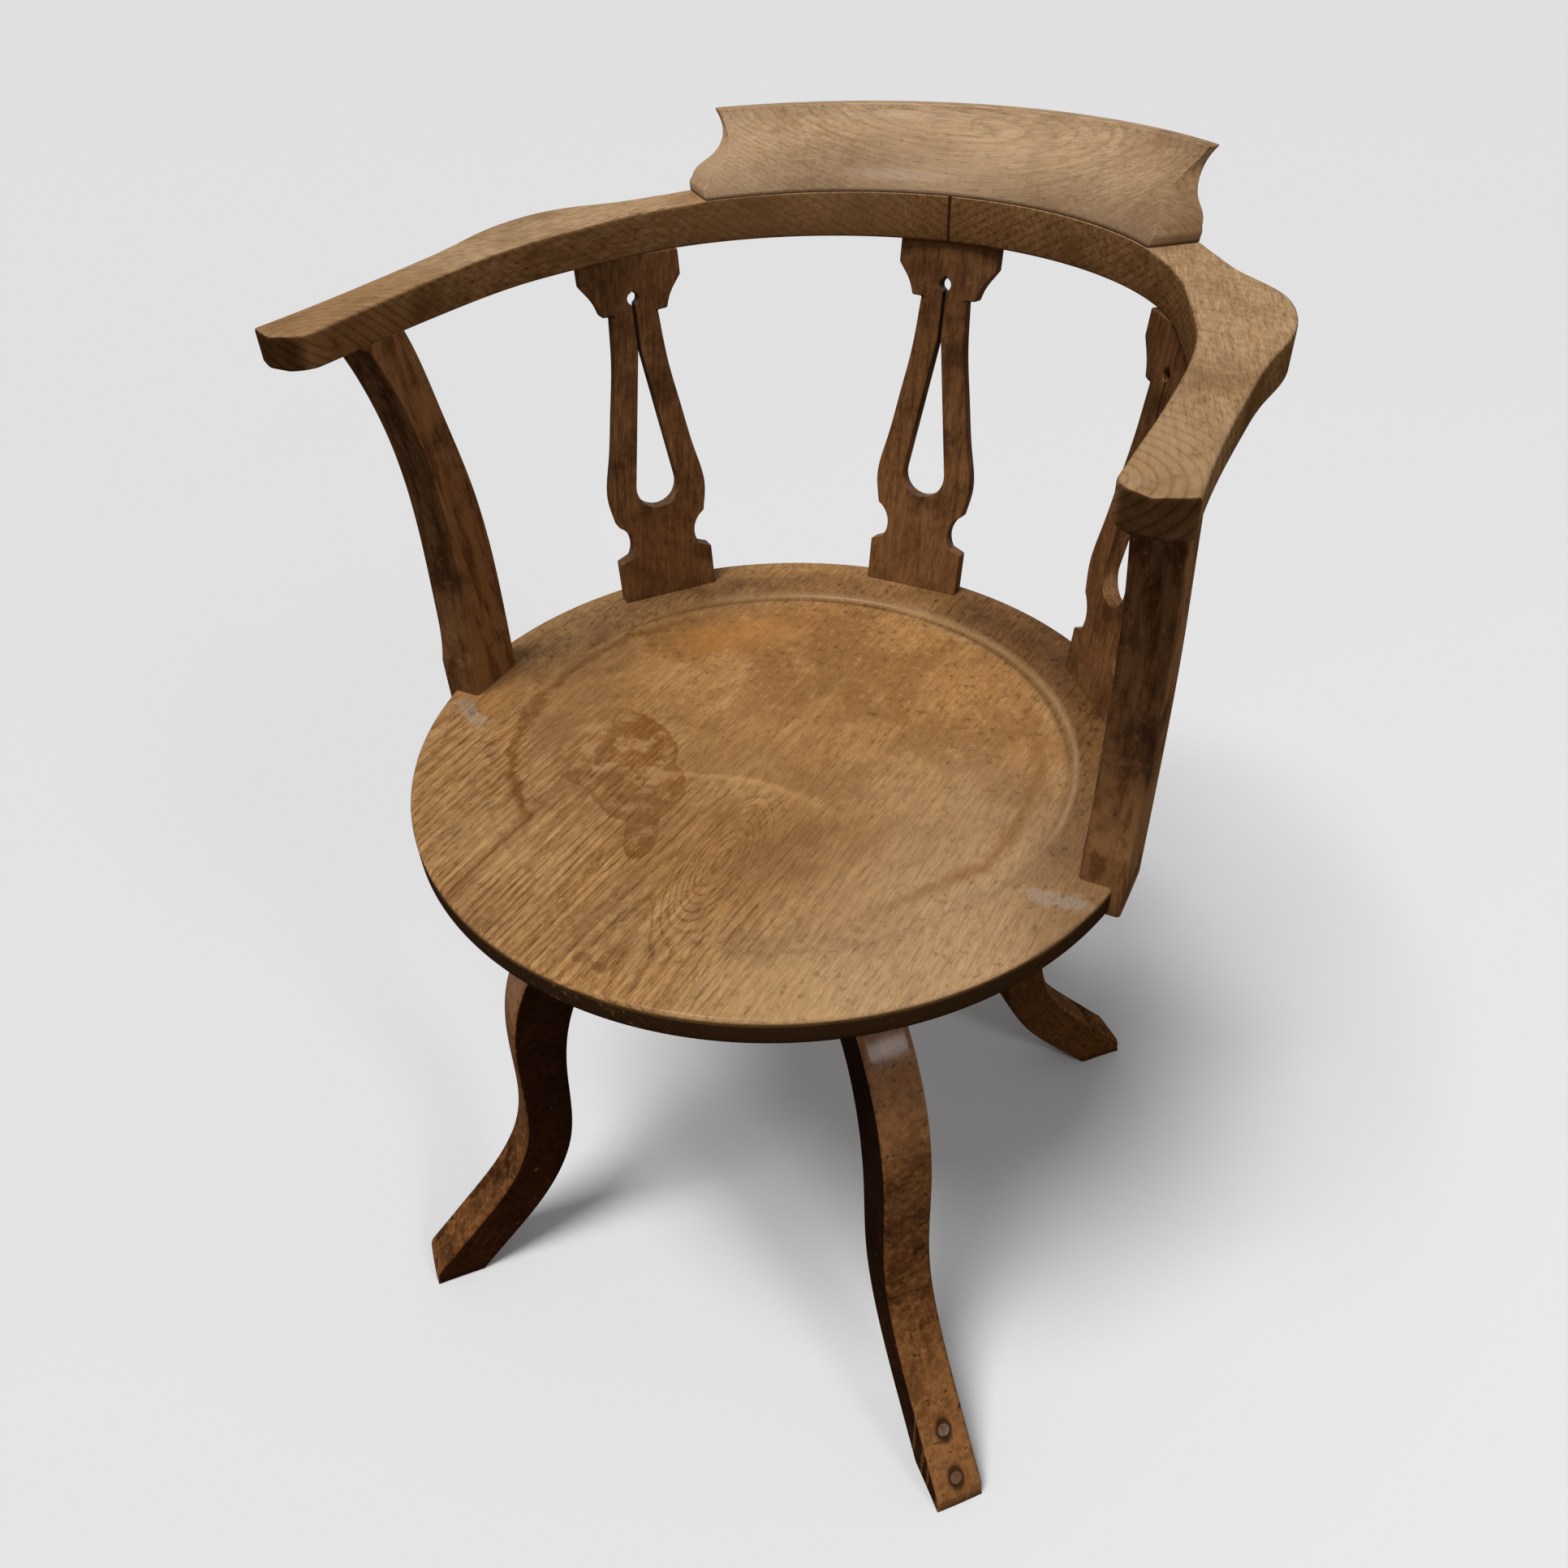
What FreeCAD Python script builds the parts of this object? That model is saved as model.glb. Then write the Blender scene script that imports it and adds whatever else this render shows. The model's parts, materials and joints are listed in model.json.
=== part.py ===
import FreeCAD, Part

import math
import os
from FreeCAD import Vector

# A low-backed swivel captain's chair in oak. A round dished seat turns on an iron
# spindle over a hub with four sabre legs. A bow in two halves runs round the sitter
# as arms and back, on two bent supports and three pierced splats, and carries a
# moulded crest rail. Millimetres, +Z up, +Y to the back, floor at Z = 0.
# Everything is built about the swivel axis and moved at the end, so that the
# origin is the middle of the chair's footprint on the floor.

# Seat
seat_d = 457.0
seat_t = 28.0
seat_top = 427.0
seat_band = 17.0
seat_undercut = 18.0
seat_arris = 2.5
board_joint_left = -100.0
board_joint_right = 62.0
dish_d = 370.0
dish_back = 5.0
dish_front_lift = 1.0
dish_hollow = 4.0
dish_cove = 6.0
seat_dowel_d = 10.0
seat_dowel_len = 60.0
seat_dowel_reach = 130.0
seat_dowel_up = 10.0

# Iron work between seat and hub
plate_t = 6.0
plate_arm = 106.0
plate_arm_w = 34.0
boss_d = 60.0
boss_h = 16.0
spindle_d = 28.0
spindle_play = 0.05
thrust_d = 54.0
thrust_t = 3.0
run_gap = 0.3
flange_d = 96.0
flange_t = 6.0
barrel_d = 44.0
barrel_below = 6.0
keeper_d = 42.0
keeper_t = 3.0
pin_d = 4.0
pin_len = 46.0
spindle_tail = 14.0

# Hub and legs
hub_w = 100.0
hub_h = 76.0
hub_corner = 20.0
hub_edge = 3.0
leg_turn = 48.0
leg_w = 33.0
leg_drop = 10.0
leg_end_h = 38.0
foot_r = 303.0
toe_h = 12.0
toe_len = 37.0
leg_arris = 2.0
# Middle line of a leg: share of the way out to the toe, share of the way up, depth
leg_line = [
    (0.190, 0.936, 40.0),
    (0.391, 0.869, 41.0),
    (0.510, 0.737, 40.0),
    (0.553, 0.559, 34.5),
    (0.585, 0.349, 34.5),
    (0.696, 0.201, 35.5),
    (0.798, 0.117, 35.5),
]
leg_dowel_d = 10.0
leg_dowel_len = 44.0
leg_dowel_pitch = 18.0

# Bow
bow_top = 687.0
bow_back_t = 27.0
arm_tip_t = 18.5
bow_in = 38.5
bow_centre_y = 63.0
bow_w = 32.5
bow_bend = 72.0
arm_in = 22.0
arm_straight = 113.0
arm_tip_y = -97.0
arm_tip_w = 34.0
nose = 15.0
nose_corner = 8.0
elbow_out = 12.0
bow_arris = 1.5
arm_round = 2.5
# Outer edge of the arm from the elbow back to the crest's end, as shares of the way
arm_sweep_line = [
    (0.798, 0.872),
    (0.593, 0.729),
    (0.402, 0.633),
    (0.184, 0.511),
    (0.048, 0.341),
    (0.0, 0.109),
]
# Edges of the straight arm: in from its inner side or the elbow, share of the way forward
arm_inner_line = [(8.0, -0.027), (1.5, 0.469)]
arm_outer_line = [(3.0, 0.159), (4.0, 0.513), (3.4, 1.0)]
bow_dowel_d = 8.0
bow_dowel_len = 56.0
bow_dowel_pitch = 15.0

# Crest rail
crest_h = 43.5
crest_half_angle = 48.7
crest_lean = 46.0
crest_lip = 7.0
crest_end_cut = 29.0
crest_end_curl = 3.0
crest_end_spare = 3.0
crest_bead = 8.0
crest_quirk = 2.5
crest_screw_turns = (19.0, 36.0)
crest_screw_in = 22.0
crest_screw_len = 40.0

# Splats
splat_t = 11.0
splat_w = 70.0
splat_shoulder = 30.0
splat_cove_w = 8.5
splat_cove_h = 3.5
splat_hollow_w = 11.5
splat_hollow_up = 44.0
splat_belly_up = 58.0
splat_collar_drop = 35.5
splat_collar_in = 19.0
splat_collar_w = 6.5
splat_ear_drop = 15.5
splat_ear_in = 1.0
splat_foot_in = 18.5
splat_head_on = 4.0
side_splat_turn = 51.0
side_splat_foot_in = 25.5
side_splat_head_on = 2.8
tear_r = 15.5
tear_up = 83.0
tear_tip_up = 176.0
slit_w = 2.4
eye_d = 8.0
eye_up = 210.0
tenon_w = 46.0
tenon_t = 6.0
tenon_len = 10.0
tenon_play = 0.15
# Edge of a splat from belly to collar: in from the full width, share of the way up
splat_line = [(2.8, 0.0), (-0.2, 0.125), (4.5, 0.32), (10.5, 0.54), (16.4, 0.78), (19.0, 1.0)]
# Edge of a splat from collar to ear: in from the full width, share of the way up
splat_ear_line = [(12.5, 0.0), (10.5, 0.3), (8.5, 0.5), (1.0, 1.0)]

# Arm supports
support_in = 23.0
support_t = 25.5
support_front_y = -43.0
support_back_y = 0.0
support_lap = 11.0
support_hang = 20.5
support_toe_h = 22.0
notch_play = 0.3
support_arris = 1.5
support_dowel_d = 9.0
support_dowel_len = 28.0
support_dowel_back = 4.0
support_dowel_down = 9.0
# Edges of a support: back of its foot's edge, share of the way up to the arm
support_front_line = [(5.0, 0.253), (6.0, 0.477), (2.0, 0.688), (-10.0, 0.878)]
support_back_line = [(0.0, 0.127), (-1.0, 0.350), (-7.0, 0.570), (-20.0, 0.793)]
support_front_top = -31.0
support_back_top = -40.0

# Screws
screw_d = 5.0
screw_head_d = 10.0
toe_screw_d = 4.0
toe_screw_head_d = 8.0
toe_screw_len = 18.0
toe_screw_shares = (0.2, 0.78)
side_screw_d = 4.0
side_screw_head_d = 8.0
side_screw_len = 45.0
side_screw_shares = (0.25, 0.75)

# Levels and radii that follow
seat_r = seat_d / 2
seat_bottom = seat_top - seat_t
plate_bottom = seat_bottom - plate_t
boss_bottom = plate_bottom - boss_h
thrust_bottom = boss_bottom - thrust_t
flange_top = thrust_bottom - run_gap
hub_top = flange_top - flange_t
hub_bottom = hub_top - hub_h
barrel_bottom = hub_bottom - barrel_below
keeper_top = barrel_bottom - run_gap
spindle_bottom = keeper_top - keeper_t - spindle_tail
hub_r = hub_w / 2
leg_top = hub_top - leg_drop
bow_r = seat_r - bow_in
bow_inner_y = bow_centre_y + bow_r
bow_outer_r = bow_r + bow_w
arm_inner_x = seat_r - arm_in
elbow_x = seat_r + elbow_out
support_x = seat_r - support_in
support_lap_x = seat_r - support_lap
leg_names = {
    "leg_back_right": leg_turn,
    "leg_back_left": leg_turn + 90,
    "leg_front_left": leg_turn + 180,
    "leg_front_right": leg_turn + 270,
}


def polar(radius, angle, z=0.0):
    """A point at a radius and an angle in degrees from +X."""
    a = math.radians(angle)
    return Vector(radius * math.cos(a), radius * math.sin(a), z)


def turned(shape, angle):
    """A copy of the shape turned about the swivel axis."""
    copy = shape.copy()
    copy.rotate(Vector(0, 0, 0), Vector(0, 0, 1), angle)
    return copy


def moved(shape, x, y, z):
    copy = shape.copy()
    copy.translate(Vector(x, y, z))
    return copy


def mirrored(shape):
    """The shape's twin on the other side of the chair."""
    return shape.mirror(Vector(0, 0, 0), Vector(1, 0, 0))


def cylinder(diameter, z0, z1, x=0.0, y=0.0):
    return Part.makeCylinder(diameter / 2, z1 - z0, Vector(x, y, z0))


def box(x0, x1, y0, y1, z0, z1):
    return Part.makeBox(x1 - x0, y1 - y0, z1 - z0, Vector(x0, y0, z0))


def line(a, b):
    return Part.LineSegment(a, b).toShape()


def arc(a, middle, b):
    return Part.Arc(a, middle, b).toShape()


def curve(points, start=None, end=None):
    """A smooth edge through the points, with its end directions if they are given."""
    spline = Part.BSplineCurve()
    if start is None:
        spline.interpolate(points)
    else:
        spline.interpolate(Points=points, InitialTangent=start, FinalTangent=end)
    return spline.toShape()


def underside(y):
    """Height of the bow's underside, which rises from the back to the arms' tips."""
    share = (bow_inner_y - y) / (bow_inner_y - arm_tip_y)
    return bow_top - bow_back_t + share * (bow_back_t - arm_tip_t)


def face_of(edges):
    return Part.Face(Part.Wire(edges))


def spun(edges):
    """The solid of a closed profile in the XZ plane, turned about the Z axis."""
    return face_of(edges).revolve(Vector(0, 0, 0), Vector(0, 0, 1), 360)


def polygon(points):
    return [line(a, b) for a, b in zip(points, points[1:] + points[:1])]


def one_solid(shape):
    """The solid of a cut or joined shape, without the wrapping compound."""
    return shape.removeSplitter().Solids[0]


def rounded(shape, chosen, radius):
    """Rounds the edges that the test picks."""
    return shape.makeFillet(radius, [edge for edge in shape.Edges if chosen(edge)])


def wood_screw(length, diameter, head_d):
    """A countersunk screw along -Z with its flat head on Z = 0."""
    r = diameter / 2
    head_r = head_d / 2
    cone = head_r - r
    tip = diameter
    profile = [
        Vector(0, 0, 0),
        Vector(head_r, 0, 0),
        Vector(r, 0, -cone),
        Vector(r, 0, tip - length),
        Vector(0.15 * diameter, 0, -length),
        Vector(0, 0, -length),
    ]
    return spun(polygon(profile))


def aimed(shape, position, direction):
    """A copy of a shape that points along -Z, pointed along the direction instead."""
    turn = FreeCAD.Rotation(Vector(0, 0, -1), direction)
    copy = shape.copy()
    copy.Placement = FreeCAD.Placement(position, turn)
    return copy


def dowel(diameter, length, centre, direction):
    half = direction.normalize() * (length / 2)
    return Part.makeCylinder(diameter / 2, length, centre - half, direction)


def over_underside():
    """All the room above the bow's underside, for cutting what stands under the bow."""
    high = bow_top + bow_back_t
    side = [
        Vector(-seat_d, -seat_d, underside(-seat_d)),
        Vector(-seat_d, seat_d, underside(seat_d)),
        Vector(-seat_d, seat_d, high),
        Vector(-seat_d, -seat_d, high),
    ]
    return face_of(polygon(side)).extrude(Vector(2 * seat_d, 0, 0))


def seat_blank():
    """The round seat: a straight band under the top, undercut below it."""
    low = seat_top - seat_band
    k = seat_arris * (1 - math.sqrt(0.5))
    edges = [
        line(Vector(0, 0, seat_bottom), Vector(seat_r - seat_undercut, 0, seat_bottom)),
        line(Vector(seat_r - seat_undercut, 0, seat_bottom), Vector(seat_r, 0, low)),
        line(Vector(seat_r, 0, low), Vector(seat_r, 0, seat_top - seat_arris)),
        arc(
            Vector(seat_r, 0, seat_top - seat_arris),
            Vector(seat_r - k, 0, seat_top - k),
            Vector(seat_r - seat_arris, 0, seat_top),
        ),
        line(Vector(seat_r - seat_arris, 0, seat_top), Vector(0, 0, seat_top)),
        line(Vector(0, 0, seat_top), Vector(0, 0, seat_bottom)),
    ]
    return spun(edges)


def dish():
    """What is hollowed out of the seat: deep at the back, running out at the front."""
    rim = dish_d / 2
    above = seat_t
    floor_r = rim - dish_cove
    quarter = dish_cove * (1 - math.sqrt(0.5))
    bulge = dish_hollow
    sphere_r = (floor_r ** 2 + bulge ** 2) / (2 * bulge)
    half = floor_r / 2
    half_depth = bulge - (sphere_r - math.sqrt(sphere_r ** 2 - half ** 2))
    edges = [
        line(Vector(0, 0, above), Vector(0, 0, -bulge)),
        arc(Vector(0, 0, -bulge), Vector(half, 0, -half_depth), Vector(floor_r, 0, 0)),
        arc(
            Vector(floor_r, 0, 0),
            Vector(rim - quarter, 0, quarter),
            Vector(rim, 0, dish_cove),
        ),
        line(Vector(rim, 0, dish_cove), Vector(rim, 0, above)),
        line(Vector(rim, 0, above), Vector(0, 0, above)),
    ]
    bowl = spun(edges)
    tilt = math.degrees(math.atan((dish_back + dish_front_lift) / dish_d))
    bowl.rotate(Vector(0, 0, 0), Vector(1, 0, 0), -tilt)
    return moved(bowl, 0, 0, seat_top - (dish_back - dish_front_lift) / 2)


def seat_joints():
    return [board_joint_left, board_joint_right]


def seat_dowels():
    """Dowels across both glue joints of the seat boards."""
    z = seat_bottom + seat_dowel_up
    pegs = []
    for x in seat_joints():
        for y in (-seat_dowel_reach, 0.0, seat_dowel_reach):
            pegs.append(dowel(seat_dowel_d, seat_dowel_len, Vector(x, y, z), Vector(1, 0, 0)))
    return pegs


def spider_plate():
    """The iron plate under the seat: four arms and a boss that holds the spindle."""
    plate = cylinder(boss_d, boss_bottom, seat_bottom)
    half = plate_arm_w / 2
    reach = plate_arm - half
    for turn in (45, 135, 225, 315):
        arm = box(0, reach, -half, half, plate_bottom, seat_bottom)
        arm = arm.fuse(cylinder(plate_arm_w, plate_bottom, seat_bottom, x=reach))
        plate = plate.fuse(turned(arm, turn))
    plate = plate.cut(cylinder(spindle_d, boss_bottom, seat_bottom))
    return one_solid(plate)


def spider_screws():
    """Two screws up through each arm of the plate into the seat."""
    screw = wood_screw(plate_t + seat_t / 2, screw_d, screw_head_d)
    reach = plate_arm - plate_arm_w / 2
    near = (reach + boss_d / 2) / 2
    screws = []
    for turn in (45, 135, 225, 315):
        for radius in (reach, near):
            screws.append(aimed(screw, polar(radius, turn, plate_bottom), Vector(0, 0, 1)))
    return screws


def thrust_washer():
    ring = cylinder(thrust_d, thrust_bottom, boss_bottom)
    return ring.cut(cylinder(spindle_d, thrust_bottom, boss_bottom))


def keeper_washer():
    ring = cylinder(keeper_d, keeper_top - keeper_t, keeper_top)
    return ring.cut(cylinder(spindle_d, keeper_top - keeper_t, keeper_top))


def keeper_pin():
    """The pin through the spindle that holds the keeper washer up."""
    z = keeper_top - keeper_t - pin_d / 2
    return dowel(pin_d, pin_len, Vector(0, 0, z), Vector(1, 0, 0))


def spindle():
    shaft = cylinder(spindle_d, spindle_bottom, seat_bottom)
    edge = spindle_d / 8
    ends = [e for e in shaft.Edges if abs(e.BoundBox.ZMax - spindle_bottom) < 0.01]
    shaft = shaft.makeChamfer(edge, ends)
    return shaft.cut(keeper_pin())


def hub_socket():
    """The iron socket let into the hub: a flange on top and a barrel right through."""
    socket = cylinder(flange_d, hub_top, flange_top).fuse(cylinder(barrel_d, barrel_bottom, hub_top))
    bore = spindle_d + 2 * spindle_play
    return one_solid(socket.cut(cylinder(bore, barrel_bottom, flange_top)))


def socket_screws():
    screw = wood_screw(flange_t + hub_h / 3, screw_d, screw_head_d)
    radius = (flange_d + barrel_d) / 4
    return [
        aimed(screw, polar(radius, leg_turn + 45 + 90 * i, flange_top), Vector(0, 0, -1))
        for i in range(4)
    ]


def hub():
    """A square block with its corners cut, one flat towards each leg."""
    block = box(-hub_r, hub_r, -hub_r, hub_r, hub_bottom, hub_top)
    corners = [
        e for e in block.Edges
        if abs(e.Vertexes[0].Z - e.Vertexes[1].Z) > hub_h / 2
    ]
    block = block.makeChamfer(hub_corner, corners)
    low = [e for e in block.Edges if abs(e.BoundBox.ZMax - hub_bottom) < 0.01]
    block = block.makeChamfer(hub_edge, low)
    block = turned(block, leg_turn)
    return block.cut(cylinder(barrel_d, hub_bottom, hub_top))


def leg_outline():
    """The sabre leg's two edges in the XZ plane, outer from hub to toe, inner back."""
    outer = [Vector(hub_r, 0, leg_top)]
    inner = [Vector(hub_r, 0, leg_top - leg_end_h)]
    middles = [Vector(hub_r, 0, leg_top - leg_end_h / 2)]
    for out, up, _ in leg_line:
        middles.append(Vector(hub_r + out * (foot_r - hub_r), 0, up * leg_top))
    middles.append(Vector(foot_r - toe_len / 2, 0, 0))
    for i, (_, _, depth) in enumerate(leg_line, start=1):
        along = (middles[i + 1] - middles[i - 1]).normalize()
        across = Vector(-along.z, 0, along.x) * (depth / 2)
        outer.append(middles[i] + across)
        inner.append(middles[i] - across)
    outer.append(Vector(foot_r, 0, toe_h))
    inner.append(Vector(foot_r - toe_len, 0, 0))
    return outer, inner


def leg_blank():
    """One leg along +X, before it is turned to its place."""
    outer, inner = leg_outline()
    level = Vector(1, 0, 0)
    edges = [
        curve(outer, level, Vector(0.7, 0, -0.75)),
        line(outer[-1], Vector(foot_r, 0, 0)),
        line(Vector(foot_r, 0, 0), inner[-1]),
        curve(inner, level, Vector(0.7, 0, -0.8)),
        line(inner[0], outer[0]),
    ]
    leg = face_of(edges).extrude(Vector(0, leg_w, 0))
    leg = moved(leg, 0, -leg_w / 2, 0)

    def long_edge(edge):
        flat = edge.BoundBox.YLength < 0.01
        return flat and edge.Length > foot_r / 2

    return rounded(leg, long_edge, leg_arris)


def leg_dowels():
    """Two dowels in the butt joint between each leg and the hub."""
    pegs = []
    middle = leg_top - leg_end_h / 2
    for turn in leg_names.values():
        for up in (-leg_dowel_pitch / 2, leg_dowel_pitch / 2):
            peg = dowel(leg_dowel_d, leg_dowel_len, Vector(hub_r, 0, middle + up), Vector(1, 0, 0))
            pegs.append(turned(peg, turn))
    return pegs


def toe_screws():
    """Two screws in the top of the front right toe, one behind the other."""
    screw = wood_screw(toe_screw_len, toe_screw_d, toe_screw_head_d)
    outer, _ = leg_outline()
    ankle = outer[-2]
    toe = outer[-1]
    slope = (toe - ankle).normalize()
    inward = Vector(slope.z, 0, -slope.x)
    screws = []
    for share in toe_screw_shares:
        spot = ankle + (toe - ankle) * share
        screws.append(turned(aimed(screw, spot, inward), leg_names["leg_front_right"]))
    return screws


def on_bow(radius, from_back, z):
    """A point at a radius and an angle from the middle of the back."""
    return Vector(0, bow_centre_y, z) + polar(radius, 90 - from_back)


def arm_edge(side_x, points, z):
    """Points of one edge of the straight arm, from its table."""
    return [
        Vector(side_x - inset, bow_centre_y - share * arm_straight, z)
        for inset, share in points
    ]


def arm_sweep(crest_end):
    """Points of the arm's outer edge from the crest's end round to the elbow."""
    return [
        Vector(
            elbow_x + inward * (crest_end.x - elbow_x),
            bow_centre_y + back * (crest_end.y - bow_centre_y),
            crest_end.z,
        )
        for inward, back in arm_sweep_line
    ]


def bow_half_plan(z):
    """Outline of the right half of the bow in plan, from the seam round the arm."""
    seam_in = on_bow(bow_r, 0, z)
    seam_out = on_bow(bow_outer_r, 0, z)
    inner_end = on_bow(bow_r, bow_bend, z)
    outer_end = on_bow(bow_outer_r, crest_half_angle, z)
    inner_run = Vector(arm_inner_x, bow_centre_y - arm_straight, z)
    tip_in = Vector(arm_inner_x, arm_tip_y, z)
    round_in = tip_in + Vector(0.16 * arm_tip_w, -0.7 * nose, 0)
    front = tip_in + Vector(arm_tip_w / 2, -nose, 0)
    tip_out = tip_in + Vector(arm_tip_w, -nose_corner, 0)
    inner = arm_edge(arm_inner_x, arm_inner_line, z)
    outer = arm_sweep(outer_end) + arm_edge(elbow_x, arm_outer_line, z)
    a = math.radians(bow_bend)
    b = math.radians(crest_half_angle)
    leaving_bend = Vector(math.cos(a), -math.sin(a), 0)
    leaving_crest = Vector(math.cos(b), -math.sin(b), 0)
    return [
        arc(seam_in, on_bow(bow_r, bow_bend / 2, z), inner_end),
        curve([inner_end] + inner + [inner_run], leaving_bend, Vector(0, -1, 0)),
        line(inner_run, tip_in),
        curve([tip_in, round_in, front, tip_out], Vector(0, -1, 0), Vector(1, 0.6, 0)),
        curve([outer_end] + outer + [tip_out], leaving_crest, Vector(0.1, -1, 0)),
        arc(outer_end, on_bow(bow_outer_r, crest_half_angle / 2, z), seam_out),
        line(seam_out, seam_in),
    ]


def crest_land():
    """The flat top of the right half of the bow, where the crest stands."""
    z = bow_top - arm_round
    turn = crest_half_angle
    edges = [
        arc(on_bow(bow_r, 0, z), on_bow(bow_r, turn / 2, z), on_bow(bow_r, turn, z)),
        line(on_bow(bow_r, turn, z), on_bow(bow_outer_r, turn, z)),
        arc(
            on_bow(bow_outer_r, turn, z),
            on_bow(bow_outer_r, turn / 2, z),
            on_bow(bow_outer_r, 0, z),
        ),
        line(on_bow(bow_outer_r, 0, z), on_bow(bow_r, 0, z)),
    ]
    return face_of(edges).extrude(Vector(0, 0, arm_round))


def bow_half():
    """Half of the bow, thinner towards the arm's tip, square only under the crest."""
    low = bow_top - 2 * bow_back_t
    half = face_of(bow_half_plan(low)).extrude(Vector(0, 0, 2 * bow_back_t))
    half = one_solid(half.common(over_underside()))

    def off_seam(edge):
        return edge.BoundBox.XMax > bow_arris

    def low_rim(edge):
        heights = [abs(v.Z - underside(v.Y)) for v in edge.Vertexes]
        return off_seam(edge) and max(heights) < 0.01

    def high_rim(edge):
        return off_seam(edge) and edge.BoundBox.ZMin > bow_top - 0.01

    half = rounded(half, low_rim, bow_arris)
    half = rounded(half, high_rim, arm_round)
    return one_solid(half.fuse(crest_land()))


def bow_dowels():
    """Two dowels across the seam at the middle of the back, above the tenon."""
    middle = bow_inner_y + bow_w / 2
    z = bow_top - (bow_back_t - tenon_len) / 2
    return [
        dowel(bow_dowel_d, bow_dowel_len, Vector(0, middle + off, z), Vector(1, 0, 0))
        for off in (-bow_dowel_pitch / 2, bow_dowel_pitch / 2)
    ]


def crest_section():
    """The crest's section in the XZ plane: an ogee face, a thin lip, a hollow back."""
    front = [
        Vector(bow_r, 0, bow_top),
        Vector(bow_r + 0.23 * crest_lean, 0, bow_top + 0.33 * crest_h),
        Vector(bow_r + 0.72 * crest_lean, 0, bow_top + 0.69 * crest_h),
        Vector(bow_r + crest_lean, 0, bow_top + crest_h),
    ]
    back = [
        Vector(bow_r + crest_lean + crest_lip, 0, bow_top + crest_h),
        Vector(bow_outer_r + 0.28 * crest_lean, 0, bow_top + 0.68 * crest_h),
        Vector(bow_outer_r, 0, bow_top),
    ]
    return [
        curve(front, Vector(0.25, 0, 1), Vector(0.35, 0, 1)),
        line(front[-1], back[0]),
        curve(back, Vector(-0.9, 0, -1), Vector(-0.05, 0, -1)),
        line(back[-1], front[0]),
    ]


def crest_end_cutter():
    """Cuts the crest's end to a bead at the foot and a hollow that flares at the top."""
    low = bow_top - 1
    bead_top = bow_top + crest_bead
    top = bow_top + crest_h + 1
    away = -crest_lean
    edges = [
        line(Vector(away, 0, low), Vector(0, 0, low)),
        line(Vector(0, 0, low), Vector(0, 0, bead_top - crest_bead / 3)),
        arc(
            Vector(0, 0, bead_top - crest_bead / 3),
            Vector(0.3 * crest_quirk, 0, bead_top - 0.1 * crest_bead),
            Vector(crest_quirk, 0, bead_top),
        ),
        curve(
            [
                Vector(crest_quirk, 0, bead_top),
                Vector(0.62 * crest_end_cut, 0, bow_top + 0.42 * crest_h),
                Vector(crest_end_cut, 0, bow_top + 0.72 * crest_h),
                Vector(crest_end_cut - crest_end_curl, 0, top),
            ],
            Vector(0.4, 0, 1),
            Vector(-0.5, 0, 1),
        ),
        line(Vector(crest_end_cut - crest_end_curl, 0, top), Vector(away, 0, top)),
        line(Vector(away, 0, top), Vector(away, 0, low)),
    ]
    reach = 2 * bow_outer_r
    slab = face_of(edges).extrude(Vector(0, reach, 0))
    slab.rotate(Vector(0, 0, 0), Vector(0, 0, 1), crest_half_angle)
    return moved(slab, 0, bow_centre_y, 0)


def crest_rail():
    wide = crest_half_angle + crest_end_spare
    section = face_of(crest_section())
    section.rotate(Vector(0, 0, 0), Vector(0, 0, 1), 90 - wide)
    rail = section.revolve(Vector(0, 0, 0), Vector(0, 0, 1), 2 * wide)
    rail = moved(rail, 0, bow_centre_y, 0)
    cutter = crest_end_cutter()
    rail = rail.cut(cutter).cut(mirrored(cutter))
    return one_solid(rail)


def crest_screws():
    """Screws up through the bow into the thick foot of the crest."""
    screw = wood_screw(crest_screw_len, screw_d, screw_head_d)
    screws = []
    for turn in crest_screw_turns:
        for side in (-1, 1):
            place = on_bow(bow_r + crest_screw_in, side * turn, 0)
            place.z = underside(place.y)
            screws.append(aimed(screw, place, Vector(0, 0, 1)))
    return screws


def splat_outline(length):
    """Outline of a splat, x from its middle and height along its face."""
    half = splat_w / 2
    below = -splat_t
    above = length + splat_t
    cove_up = splat_shoulder + splat_cove_h
    collar_up = length - splat_collar_drop
    ear_up = length - splat_ear_drop
    edges = []
    for side in (1, -1):

        def p(inset, up):
            return Vector(side * (half - inset), 0, up)

        def climb(points, start, end):
            return curve([p(inset, start + share * (end - start)) for inset, share in points])

        belly = splat_line[0][0]
        collar = splat_collar_in - splat_collar_w
        edges += [
            line(p(0, below), p(0, splat_shoulder)),
            line(p(0, splat_shoulder), p(splat_cove_w, cove_up)),
            arc(p(splat_cove_w, cove_up), p(splat_hollow_w, splat_hollow_up), p(belly, splat_belly_up)),
            climb(splat_line, splat_belly_up, collar_up),
            line(p(splat_collar_in, collar_up), p(collar, collar_up)),
            climb(splat_ear_line, collar_up, ear_up),
            line(p(splat_ear_in, ear_up), p(splat_ear_in, above)),
        ]
    head = half - splat_ear_in
    edges.append(line(Vector(half, 0, below), Vector(-half, 0, below)))
    edges.append(line(Vector(head, 0, above), Vector(-head, 0, above)))
    return Part.Wire(Part.__sortEdges__(edges))


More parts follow.
